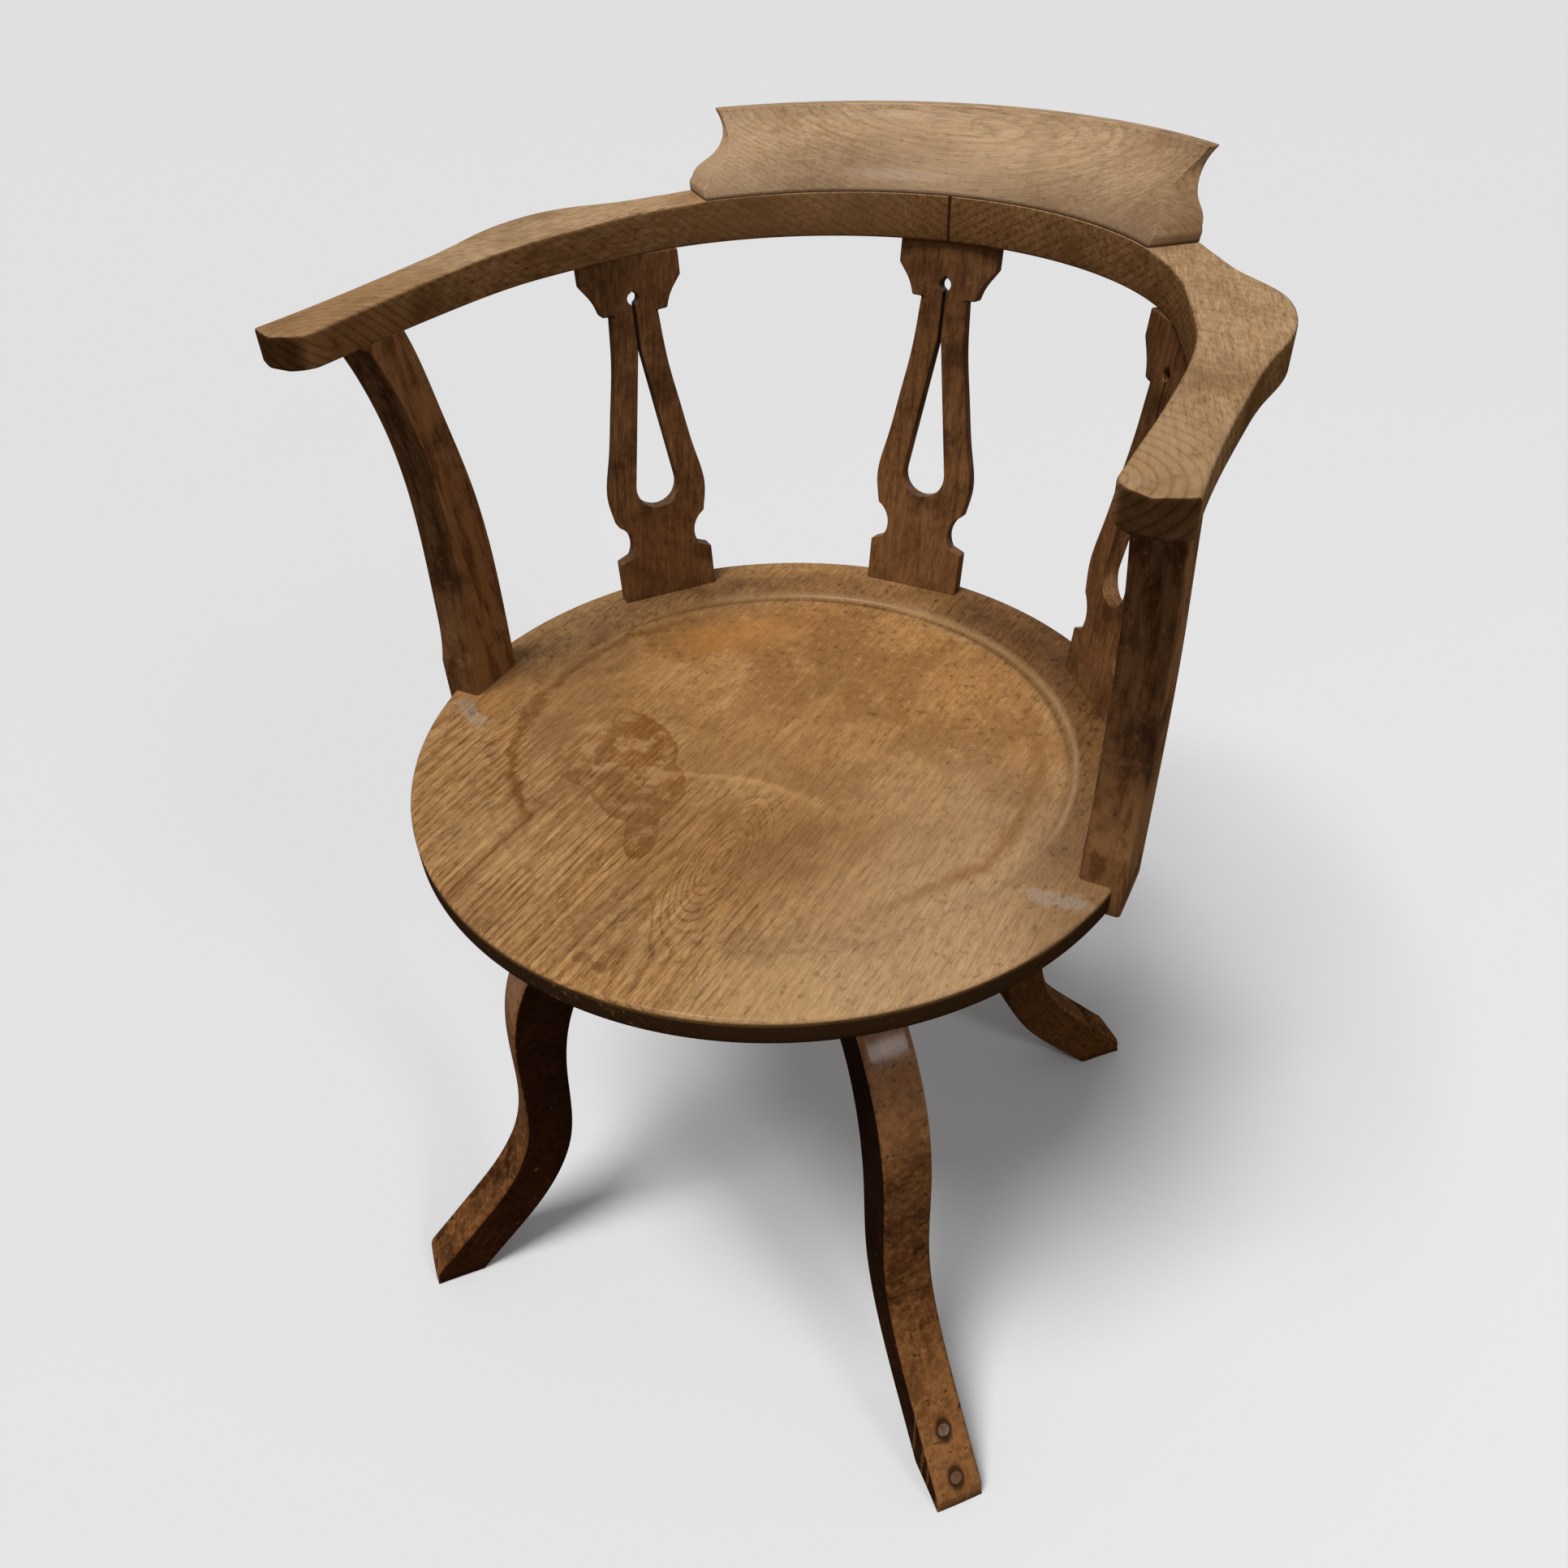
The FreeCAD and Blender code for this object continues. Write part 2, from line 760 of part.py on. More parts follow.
def tear_hole():
    """The teardrop, the slit above it and the round eye at the slit's end."""
    deep = 2 * splat_t
    slit = slit_w / 2
    rise = tear_tip_up - tear_up
    drop = math.asin((tear_r - slit) / rise)
    side_x = tear_r * math.cos(drop)
    side_up = tear_up + tear_r * math.sin(drop)
    tip_x = slit * math.cos(drop)
    tip_up = tear_tip_up + slit * math.sin(drop)
    edges = [
        arc(
            Vector(side_x, 0, side_up),
            Vector(0, 0, tear_up - tear_r),
            Vector(-side_x, 0, side_up),
        ),
        line(Vector(-side_x, 0, side_up), Vector(-tip_x, 0, tip_up)),
        line(Vector(-tip_x, 0, tip_up), Vector(tip_x, 0, tip_up)),
        line(Vector(tip_x, 0, tip_up), Vector(side_x, 0, side_up)),
    ]
    drop_hole = face_of(edges).extrude(Vector(0, deep, 0))
    slot = box(-slit, slit, 0, deep, tear_tip_up - slit_w, eye_up)
    eye = Part.makeCylinder(eye_d / 2, deep, Vector(0, 0, eye_up), Vector(0, 1, 0))
    hole = drop_hole.fuse(slot).fuse(eye)
    return moved(hole, 0, -splat_t / 2, 0)


def splat_slope(foot, head, turn):
    """Rise, length and lean of a splat's face from the seat to the bow."""
    rise = underside(head * math.cos(math.radians(turn))) - seat_top
    return math.hypot(rise, head - foot), math.degrees(math.atan((head - foot) / rise))


def splat_set(shape, foot, lean, turn):
    """A splat's shape leant back, stood on the seat and turned to its place."""
    shape.rotate(Vector(0, 0, 0), Vector(1, 0, 0), -lean)
    return turned(moved(shape, 0, foot, seat_top), turn)


def splat_tenons(foot, head, turn, play=0.0):
    """The tenons at a splat's foot and head, or the room for them with some play."""
    length, lean = splat_slope(foot, head, turn)
    half = tenon_w / 2 + play
    near = splat_t / 2 - tenon_t / 2 - play
    far = splat_t / 2 + tenon_t / 2 + play
    low = box(-half, half, near, far, -tenon_len - play, tenon_len)
    high = box(-half, half, near, far, length - tenon_len, length + tenon_len + play)
    return [splat_set(tenon, foot, lean, turn) for tenon in (low, high)]


def splat(foot, head, turn):
    """A splat between seat and bow, leaning back, with its tenons."""
    length, lean = splat_slope(foot, head, turn)
    board = Part.Face(splat_outline(length)).extrude(Vector(0, splat_t, 0)).cut(tear_hole())
    board = splat_set(board, foot, lean, turn)
    under_seat_top = box(-seat_d, seat_d, -seat_d, seat_d, 0, seat_top)
    board = board.cut(under_seat_top).cut(over_underside())
    for tenon in splat_tenons(foot, head, turn):
        board = board.fuse(tenon)
    return one_solid(board)


def bow_reach(turn):
    """Distance from the swivel axis to the bow's inner edge, turned from the back."""
    a = math.radians(turn)
    along = bow_centre_y * math.cos(a)
    return along + math.sqrt(bow_r ** 2 - (bow_centre_y * math.sin(a)) ** 2)


def splat_places():
    """Each splat's distance from the swivel axis at foot and head, and its turn."""
    foot = seat_r - side_splat_foot_in
    head = bow_reach(side_splat_turn) + side_splat_head_on
    return {
        "splat_centre": (seat_r - splat_foot_in, bow_reach(0.0) + splat_head_on, 0.0),
        "splat_left": (foot, head, side_splat_turn),
        "splat_right": (foot, head, -side_splat_turn),
    }


def mortises():
    rooms = []
    for foot, head, turn in splat_places().values():
        rooms += splat_tenons(foot, head, turn, tenon_play)
    return rooms


def support_profile():
    """The bent arm support in the YZ plane, upright at the seat, sweeping forward."""
    post_h = underside(support_front_y) - seat_top
    over = bow_top - arm_tip_t / 2
    hang = seat_top - support_hang
    front = support_front_y
    back = support_back_y

    def p(y, z):
        return Vector(support_x, y, z)

    def edge_points(base, points):
        return [p(base + offset, seat_top + share * post_h) for offset, share in points]

    front_pts = [p(front, seat_top + support_toe_h)] + edge_points(front, support_front_line)
    front_pts.append(p(front + support_front_top, over))
    back_pts = edge_points(back, support_back_line)
    back_pts.append(p(back + support_back_top, over))
    return [
        curve(front_pts, Vector(0, 0.35, 1), Vector(0, -0.8, 1)),
        line(front_pts[-1], back_pts[-1]),
        curve(back_pts, Vector(0, 0, 1), Vector(0, -0.55, 1)),
        line(back_pts[0], p(back, hang)),
        line(p(back, hang), p(front, hang)),
        line(p(front, hang), front_pts[0]),
    ]


def arm_support():
    post = face_of(support_profile()).extrude(Vector(support_t, 0, 0))

    def long_edge(edge):
        return edge.BoundBox.XLength < 0.01 and edge.Length > 2 * support_hang + seat_t

    post = rounded(post, long_edge, support_arris)
    under_lip = box(0, support_lap_x, -seat_d, seat_d, 0, seat_top)
    return one_solid(post.cut(under_lip).cut(over_underside()))


def support_dowel():
    """The dowel that ties the top of a support to the arm."""
    x = support_x + support_t / 2
    y = (support_front_y + support_front_top + support_back_y + support_back_top) / 2
    y += support_dowel_back
    z = bow_top - support_dowel_down - support_dowel_len / 2
    return dowel(support_dowel_d, support_dowel_len, Vector(x, y, z), Vector(0, 0, 1))


def support_screws():
    """Two screws through the hanging part of a support into the seat's edge."""
    screw = wood_screw(side_screw_len, side_screw_d, side_screw_head_d)
    depth = support_back_y - support_front_y
    z = seat_top - support_hang / 2
    x = support_x + support_t
    return [
        aimed(screw, Vector(x, support_front_y + share * depth, z), Vector(-1, 0, 0))
        for share in side_screw_shares
    ]


def notch():
    """The flat step in the seat's edge that a support is lapped over."""
    return box(
        support_lap_x,
        seat_d,
        support_front_y - notch_play,
        support_back_y + notch_play,
        seat_bottom - 1,
        seat_top + 1,
    )


def cut_all(shape, tools):
    for tool in tools:
        shape = shape.cut(tool)
    return shape


def build():
    """Every sub-part by name, each a list of solids."""
    nodes = {}

    legs = leg_dowels()
    toes = toe_screws()
    sockets = socket_screws()
    nodes["hub"] = [cut_all(hub(), legs + sockets)]
    blank = leg_blank()
    for name, turn in leg_names.items():
        leg = cut_all(turned(blank, turn), legs)
        if name == "leg_front_right":
            leg = cut_all(leg, toes)
        nodes[name] = [leg]
    nodes["leg_dowels"] = legs
    nodes["toe_screws"] = toes
    nodes["hub_socket"] = [cut_all(hub_socket(), sockets)]
    nodes["socket_screws"] = sockets

    plate_screws = spider_screws()
    nodes["spider_plate"] = [cut_all(spider_plate(), plate_screws)]
    nodes["spider_screws"] = plate_screws
    nodes["spindle"] = [spindle()]
    nodes["thrust_washer"] = [thrust_washer()]
    nodes["keeper_washer"] = [keeper_washer()]
    nodes["keeper_pin"] = [keeper_pin()]

    right_screws = support_screws()
    side_screws = right_screws + [mirrored(s) for s in right_screws]
    pegs = seat_dowels()
    top = seat_blank().cut(dish())
    top = cut_all(top, [notch(), mirrored(notch())] + mortises())
    top = cut_all(top, plate_screws + side_screws + pegs)
    limits = [-seat_d, board_joint_left, board_joint_right, seat_d]
    for name, x0, x1 in zip(("left", "middle", "right"), limits, limits[1:]):
        board = top.common(box(x0, x1, -seat_d, seat_d, 0, 2 * seat_top))
        nodes["seat_board_" + name] = board.Solids
    nodes["seat_dowels"] = pegs

    seam_pegs = bow_dowels()
    right_dowel = support_dowel()
    arm_pegs = [right_dowel, mirrored(right_dowel)]
    rail_screws = crest_screws()
    right_bow = bow_half()
    for name, half in (("right", right_bow), ("left", mirrored(right_bow))):
        half = cut_all(half, mortises() + seam_pegs + arm_pegs + rail_screws)
        nodes["arm_bow_" + name] = [one_solid(half)]
    nodes["bow_dowels"] = seam_pegs
    nodes["crest_rail"] = [cut_all(crest_rail(), rail_screws)]
    nodes["crest_screws"] = rail_screws

    for name, (foot, head, turn) in splat_places().items():
        nodes[name] = [splat(foot, head, turn)]

    right_support = cut_all(arm_support(), [right_dowel] + right_screws)
    nodes["arm_support_right"] = [right_support]
    nodes["arm_support_left"] = [mirrored(right_support)]
    nodes["support_dowels"] = arm_pegs
    nodes["support_screws"] = side_screws
    return nodes


def middle_y():
    """Y of the middle of the footprint, from the crest's lip to the front left toe."""
    turn = math.radians(leg_turn)
    back = bow_centre_y + bow_r + crest_lean + crest_lip
    front = foot_r * math.sin(turn) + leg_w / 2 * math.cos(turn)
    return (back - front) / 2


def main():
    os.makedirs("parts", exist_ok=True)
    for name, solids in build().items():
        shape = solids[0] if len(solids) == 1 else Part.makeCompound(solids)
        shape = moved(shape, 0, -middle_y(), 0)
        shape.exportStep("parts/" + name + ".step")
    print("swivel axis at Y", round(-middle_y(), 3))


main()
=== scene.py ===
"""A captain's chair dressed for its portrait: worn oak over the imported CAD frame."""

import json
import math

import bmesh
import bpy
import numpy as np
from bpy.props import FloatProperty, FloatVectorProperty, PointerProperty
from mathutils import Matrix, Vector


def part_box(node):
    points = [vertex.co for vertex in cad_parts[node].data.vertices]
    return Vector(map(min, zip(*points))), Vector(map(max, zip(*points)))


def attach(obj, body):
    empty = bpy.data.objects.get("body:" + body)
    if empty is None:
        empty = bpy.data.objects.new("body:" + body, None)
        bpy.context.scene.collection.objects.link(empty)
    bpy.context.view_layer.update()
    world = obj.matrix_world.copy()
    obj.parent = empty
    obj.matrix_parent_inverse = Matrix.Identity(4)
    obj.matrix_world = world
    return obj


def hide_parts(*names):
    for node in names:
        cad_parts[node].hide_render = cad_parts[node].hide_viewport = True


bl_info = {
    "name": "Captains chair",
    "version": (1, 0, 0),
    "blender": (4, 5, 0),
    "location": "3D View > Sidebar > Chair",
    "description": "Builds a worn oak swivel armchair round its CAD frame",
    "category": "Object",
}

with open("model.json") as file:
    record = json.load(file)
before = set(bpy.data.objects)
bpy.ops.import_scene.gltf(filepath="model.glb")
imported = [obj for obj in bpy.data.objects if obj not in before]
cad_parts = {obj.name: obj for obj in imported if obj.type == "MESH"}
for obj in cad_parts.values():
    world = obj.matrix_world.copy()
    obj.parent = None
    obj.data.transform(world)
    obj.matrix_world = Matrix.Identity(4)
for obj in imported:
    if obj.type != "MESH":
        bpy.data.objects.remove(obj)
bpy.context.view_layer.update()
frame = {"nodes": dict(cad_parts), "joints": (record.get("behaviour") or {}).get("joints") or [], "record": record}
NODES = frame["nodes"]
SWIVEL = np.array([0.0, frame["joints"][0]["pos_m"][1], 0.0])
AXIS_Y = float(SWIVEL[1])
MM = 0.001

# Levels in millimetres above the floor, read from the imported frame
SEAT_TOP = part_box("seat_board_middle")[1].z / MM
SEAT_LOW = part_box("seat_board_middle")[0].z / MM
SEAT_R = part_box("seat_board_right")[1].x / MM
BOW_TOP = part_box("arm_bow_right")[1].z / MM
BOW_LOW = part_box("arm_bow_right")[0].z / MM
CREST_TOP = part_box("crest_rail")[1].z / MM
LEG_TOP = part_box("leg_back_right")[1].z / MM


# Curves and meshes


def curve_through(points, start, end, steps):
    """Smooth line through the points: a cubic on each span, slopes solved to match.

    Each span runs over its own chord. The slope at a point is the one at which the two
    cubics beside it bend alike, and the first and last slopes are given. Every span
    has the same number of steps.
    """
    points = np.asarray(points, float)
    chord = np.linalg.norm(np.diff(points, axis=0), axis=1)
    rise = np.diff(points, axis=0) / chord[:, None]
    count = len(points)
    system = np.eye(count)
    right = np.zeros_like(points)
    inner = np.arange(1, count - 1)
    system[inner, inner - 1] = chord[1:]
    system[inner, inner] = 2 * (chord[:-1] + chord[1:])
    system[inner, inner + 1] = chord[:-1]
    right[inner] = 3 * (chord[1:, None] * rise[:-1] + chord[:-1, None] * rise[1:])
    right[0] = rise[0] if start is None else start / np.linalg.norm(start)
    right[-1] = rise[-1] if end is None else end / np.linalg.norm(end)
    slope = np.linalg.solve(system, right)
    at = np.linspace(0, count - 1, (count - 1) * steps + 1)
    span = np.minimum(at.astype(int), count - 2)
    t = (at - span)[:, None]
    width = chord[span][:, None]
    return (
        points[span] * (1 + 2 * t) * (1 - t) ** 2
        + points[span + 1] * t * t * (3 - 2 * t)
        + slope[span] * width * t * (1 - t) ** 2
        - slope[span + 1] * width * t * t * (1 - t)
    )


def points_of(*measures):
    """Points from their measures, each an array or one number for all."""
    return np.stack(np.broadcast_arrays(*measures), axis=-1)


def cornered(*corners):
    """Sections from the two measures of each corner, one for each station."""
    return np.stack([points_of(*corner) for corner in corners], axis=1)


def unit(vectors):
    """Vectors made one long, along the last axis."""
    return vectors / np.linalg.norm(vectors, axis=-1, keepdims=True)


def eased_quads(corners, radii, flat=4, turn=5, crown=0.0):
    """Four-cornered sections with rounded corners, one for each station.

    A corner is a quarter turn: corner + r(1 - sin a) towards the last corner
    + r(1 - cos a) towards the next. The sides between are straight, or bulge by crown
    times the sine of the way along.
    """
    corners = np.asarray(corners, float)
    radii = np.broadcast_to(radii, corners.shape[:2])
    a = np.linspace(0, math.pi / 2, turn)[None, :, None]
    along = np.linspace(0, 1, flat + 2)[1:-1][None, :, None]
    before = np.roll(corners, 1, axis=1) - corners
    after = np.roll(corners, -1, axis=1) - corners
    shortest = np.minimum(np.linalg.norm(before, axis=2), np.linalg.norm(after, axis=2))
    r = np.minimum(radii, 0.49 * shortest)[:, :, None]
    back = before / np.maximum(np.linalg.norm(before, axis=2, keepdims=True), 1e-9)
    on = after / np.maximum(np.linalg.norm(after, axis=2, keepdims=True), 1e-9)
    pieces = []
    for k in range(4):
        reach = r[:, k, None]
        arc = corners[:, k, None] + back[:, k, None] * reach * (1 - np.sin(a))
        arc = arc + on[:, k, None] * reach * (1 - np.cos(a))
        n = (k + 1) % 4
        leave = corners[:, k] + on[:, k] * r[:, k]
        meet = corners[:, n] + back[:, n] * r[:, n]
        side = leave[:, None] * (1 - along) + meet[:, None] * along
        outward = points_of(on[:, k, 1], -on[:, k, 0])[:, None]
        side = side + outward * crown * np.sin(math.pi * along)
        pieces += [arc, side]
    return np.concatenate(pieces, axis=1)


def shrunk_end(section, depth, steps=4):
    """Copies of an end section drawn in as a quarter round, with how far each moves on."""
    a = np.linspace(0, math.pi / 2, steps + 1)[1:, None, None]
    middle = (section.max(axis=0) + section.min(axis=0)) / 2
    half = (section.max(axis=0) - section.min(axis=0)) / 2
    scale = 1 - depth * (1 - np.cos(a)) / half
    return middle + (section - middle) * scale, depth * np.sin(a[:, 0, 0])


def ring_faces(rows, columns):
    """Quads between rows of points that each run round in a ring."""
    i = np.arange(rows - 1)[:, None] * columns
    j = np.arange(columns)[None, :]
    k = (j + 1) % columns
    quads = np.stack([i + j, i + k, i + columns + k, i + columns + j], axis=-1)
    return quads.reshape(-1, 4)


def sheet_faces(rows, columns, first):
    """Quads over an open sheet of points, whose first point has the given number."""
    i = np.arange(rows - 1)[:, None] * columns + first
    j = np.arange(columns - 1)[None, :]
    quads = np.stack([i + j, i + j + 1, i + columns + j + 1, i + columns + j], axis=-1)
    return quads.reshape(-1, 4)


def end_faces(columns, first):
    """Quads across an open end, each joining two points to the two across from them."""
    j = np.arange(columns // 2 - 1)
    across = columns - 1 - j
    return np.stack([j, across, across - 1, j + 1], axis=-1) + first


def bar_mesh(name, rows):
    """A closed bar from its rows of points, in millimetres about the swivel axis."""
    count, columns = rows.shape[:2]
    faces = np.concatenate(
        [
            ring_faces(count, columns),
            end_faces(columns, 0),
            end_faces(columns, (count - 1) * columns)[:, ::-1],
        ]
    )
    return mesh_of(name, rows.reshape(-1, 3), faces)


def mesh_of(name, points, faces):
    """An object from points in millimetres about the swivel axis, welded and smooth."""
    mesh = bpy.data.meshes.new(name)
    mesh.from_pydata(points * MM + SWIVEL, [], faces.tolist())
    return settled(mesh, name)


def settled(mesh, name):
    """Welds a mesh, turns its faces outwards, shades it and puts it in the scene."""
    work = bmesh.new()
    work.from_mesh(mesh)
    bmesh.ops.remove_doubles(work, verts=work.verts, dist=2e-6)
    bmesh.ops.dissolve_degenerate(work, edges=work.edges, dist=2e-6)
    bmesh.ops.recalc_face_normals(work, faces=work.faces)
    work.to_mesh(mesh)
    work.free()
    mesh.shade_smooth()
    mesh.set_sharp_from_angle(angle=math.radians(32))
    return placed(name, mesh)


def placed(name, data):
    """A new object in the scene with the data given."""
    made = bpy.data.objects.new(name, data)
    bpy.context.scene.collection.objects.link(made)
    return made


def soften(piece, width):
    """Takes the sharpness off a piece's edges with a small round."""
    bevel = piece.modifiers.new("arris", "BEVEL")
    bevel.width = width * MM
    bevel.segments = 3
    bevel.limit_method = "ANGLE"
    bevel.angle_limit = math.radians(38)
    bevel.use_clamp_overlap = False
    bevel.harden_normals = False


def turned(points, degrees):
    """Points turned about the swivel axis."""
    a = math.radians(degrees)
    spin = np.array([[math.cos(a), math.sin(a), 0], [-math.sin(a), math.cos(a), 0], [0, 0, 1]])
    return points @ spin


def stand_for(piece, node, body, material):
    """Puts a finished piece in a CAD node's place, on its body and in its finish."""
    piece.data.materials.append(material)
    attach(piece, body)
    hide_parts(node)


def refinish(node, material):
    """Gives a CAD node that stays in view its finish."""
    NODES[node].data.materials.clear()
    NODES[node].data.materials.append(material)


# Finishes


class Signal:
    """A socket in a material. Sums on it add Math nodes."""

    def __init__(self, finish, socket):
        self.finish = finish
        self.socket = socket

    def sum(self, operation, first, second=0.0):
        """The result of one Math node."""
        return self.finish.node("ShaderNodeMath", {"operation": operation}, {0: first, 1: second})

    def __add__(self, other):
        return self.sum("ADD", self, other)

    def __radd__(self, other):
        return self.sum("ADD", other, self)

    def __sub__(self, other):
        return self.sum("SUBTRACT", self, other)

    def __rsub__(self, other):
        return self.sum("SUBTRACT", other, self)

    def __mul__(self, other):
        return self.sum("MULTIPLY", self, other)

    def __rmul__(self, other):
        return self.sum("MULTIPLY", other, self)

    def __truediv__(self, other):
        return self.sum("DIVIDE", self, other)

    def root(self):
        """Square root."""
        return self.sum("SQRT", self)

    def part(self):
        """What is left above the whole number."""
        return self.sum("FRACT", self)

    def least(self, other):
        """The lower of two."""
        return self.sum("MINIMUM", self, other)

    def most(self, other):
        """The higher of two."""
        return self.sum("MAXIMUM", self, other)

    def rise(self, low, high):
        """0 below low, 1 above high, smooth between."""
        settings = {"interpolation_type": "SMOOTHSTEP"}
        return self.finish.node("ShaderNodeMapRange", settings, {0: self, 1: low, 2: high})

    def fall(self, low, high):
        """1 below low, 0 above high, smooth between."""
        return 1.0 - self.rise(low, high)


class Finish:
    """A material under construction, with one method that adds any node."""

    def __init__(self, name, owner=None):
        self.material = owner or bpy.data.materials.new(name)
        self.material.use_nodes = True
        self.tree = self.material.node_tree
        self.tree.nodes.clear()

    def node(self, kind, settings=None, inputs=None, out=0):
        """Adds a node, sets it, feeds its sockets with values or links, gives an output."""
        made = self.tree.nodes.new(kind)
        for key, value in (settings or {}).items():
            setattr(made, key, value)
        for key, value in (inputs or {}).items():
            if isinstance(value, Signal):
                self.tree.links.new(value.socket, made.inputs[key])
            else:
                made.inputs[key].default_value = value
        return Signal(self, made.outputs[out]) if made.outputs else None

    def looked_at(self):
        """1 where the camera, a reflection or glass looks, 0 where light is gathered."""
        rays = [
            self.node("ShaderNodeLightPath", out="Is " + kind + " Ray")
            for kind in ("Camera", "Glossy", "Transmission")
        ]
        return rays[0].most(rays[1]).most(rays[2])

    def place(self):
        """Where a point is, in metres, on the object's own axes."""
        return self.node("ShaderNodeTexCoord", out="Object")

    def axes(self, vector):
        """The three parts of a vector."""
        split = self.node("ShaderNodeSeparateXYZ", inputs={0: vector})
        outputs = split.socket.node.outputs
        return [Signal(self, outputs[i]) for i in range(3)]

    def stretched(self, vector, scale):
        """A vector with each part times its own scale."""
        inputs = {0: vector, 1: scale}
        return self.node("ShaderNodeVectorMath", {"operation": "MULTIPLY"}, inputs)

    def noise(self, vector, scale, detail=2.0, rough=0.5, twist=0.0):
        """Cloudy value from 0 to 1; scale is cycles a metre along each axis."""
        inputs = {"Vector": self.stretched(vector, scale), "Scale": 1.0}
        inputs.update({"Detail": detail, "Roughness": rough, "Distortion": twist})
        return self.node("ShaderNodeTexNoise", inputs=inputs)

    def mix(self, share, first, second, blend="MIX"):
        """A colour between two, by share."""
        settings = {"data_type": "RGBA", "blend_type": blend}
        first = rgba(first)
        second = rgba(second)
        return self.node("ShaderNodeMix", settings, {0: share, 6: first, 7: second}, out=2)

    def finish(self, colour, rough, height, depth, coat=0.0, metal=0.0, shine=0.3):
        """Ends the recipe in one shader."""
        bump = self.node("ShaderNodeBump", inputs={"Height": height, "Distance": depth})
        inputs = {"Base Color": rgba(colour), "Roughness": rough, "Normal": bump}
        inputs.update({"Metallic": metal, "Coat Weight": coat, "Coat Roughness": 0.18})
        inputs["Specular IOR Level"] = shine
        shader = self.node("ShaderNodeBsdfPrincipled", inputs=inputs)
        self.node("ShaderNodeOutputMaterial", inputs={"Surface": shader})
        return self.material


def rgba(colour):
    """A colour's four numbers, or the link as it is."""
    if isinstance(colour, Signal):
        return colour
    return (*tuple(colour)[:3], 1.0)


class Oak:
    """Oak's grain on one board: growth rings, pores, flecks and clouds along its axis."""

    def __init__(self, finish, look, along, centre):
        self.finish = finish
        self.look = look
        self.spot = finish.place()
        way = Vector(along).normalized().to_track_quat("X", "Z").to_euler()
        inputs = {"Vector": self.spot, "Location": centre, "Rotation": way}
        self.grain = finish.node("ShaderNodeMapping", {"vector_type": "TEXTURE"}, inputs)
        self.cloud = finish.noise(self.spot, (8.0, 8.0, 8.0), 4.0, 0.6)
        self.blotch = finish.noise(self.spot, (27.0, 21.0, 27.0), 5.0, 0.65)
        self.grit = finish.noise(self.spot, (190.0, 150.0, 190.0), 4.0, 0.7)
        self.film = self.facing()[2].rise(0.1, 0.7)

    def reach(self, pith, slope, sway):
        """How far a point is from the pith line, in metres.

        The line wanders with a slow noise and, by the slope, comes up through the board,
        which closes the rings to arches.
        """
        f = self.finish
        wander = f.noise(self.grain, (1.8, 9.0, 9.0), 2.0) - 0.5
        ripple = f.noise(self.grain, (14.0, 90.0, 90.0), 3.0, 0.6) - 0.5
        run, across, up = f.axes(self.grain)
        side = across - pith[0]
        drop = up - pith[1] + run * slope
        return (side * side + drop * drop).root() + wander * sway + ripple * sway * 0.08

    def grow(self, reach, ring, show, busy=1.0):
        """Colour and height of the bare wood.

        Pores are short dark dashes, thickest where a ring starts. Flecks are longer and
        paler, and clouds change the tone and the strength of the rings. Streaks, flecks
        and pores go by busy.
        """
        f = self.finish
        look = self.look
        band = (reach / ring).part()
        rings = band.fall(0.03, 0.40).most(band.rise(0.93, 1.0)) * show
        rings = rings * (self.cloud.rise(0.35, 0.6) * 0.5 + 0.5)
        streak = f.noise(self.grain, (5.0, 270.0, 270.0), 2.0, 0.55)
        fleck = f.noise(self.grain, (95.0, 430.0, 430.0), 4.0, 0.75)
        dash = f.noise(self.grain, (70.0, 900.0, 900.0), 3.0, 0.7)
        self.pores = dash.rise(0.50, 0.64) * (rings * 0.7 + 0.5) * busy
        lines = streak.rise(0.36, 0.64) * (show * 0.40 + 0.15) * busy
        tone = lines + rings * 0.55 + fleck.rise(0.38, 0.62) * 0.5 * busy
        colour = f.mix(tone, look.light, look.mid)
        colour = f.mix(self.cloud.rise(0.4, 0.75) * 0.5, colour, look.warm)
        colour = f.mix(self.blotch.rise(0.45, 0.72) * 0.6, colour, look.dark)
        self.colour = f.mix(self.pores * look.pore_depth, colour, look.pore)
        self.height = 0.6 - self.pores * 0.6 - rings * 0.2 + streak * 0.2 + fleck * 0.15

    def stain(self, share, colour, blend="MIX"):
        """Lays a colour over the wood by a share."""
        self.colour = self.finish.mix(share, self.colour, colour, blend)

    def darken(self, share, colour):
        """Multiplies the wood by a colour, which leaves its grain in view."""
        self.stain(share, colour, "MULTIPLY")

    def specks(self, share):
        """Dark specks of dirt and pale ones of bare wood, by a noise's extremes."""
        self.stain(self.grit.rise(0.54, 0.70) * share, self.look.pore)
        self.stain(self.grit.fall(0.30, 0.44) * share, self.look.light)

    def oval(self, centre, radii, degrees=0.0, plane=(0, 1)):
        """How far out a point is in an oval on two of the axes: 1 on its rim."""
        axes = self.finish.axes(self.spot)
        a = math.radians(degrees)
        u = axes[plane[0]] - centre[0]
        v = axes[plane[1]] - centre[1]
        along = (u * math.cos(a) + v * math.sin(a)) / radii[0]
        across = (v * math.cos(a) - u * math.sin(a)) / radii[1]
        return (along * along + across * across).root()

    def mark(self, oval):
        """How far out a point is in an oval given from the swivel axis."""
        (across, along), radii, degrees = oval
        return self.oval((across, along + AXIS_Y), radii, degrees)

    def facing(self):
        """The three parts of the way the surface faces, on the object's own axes."""
        return self.finish.axes(self.finish.node("ShaderNodeTexCoord", out="Normal"))

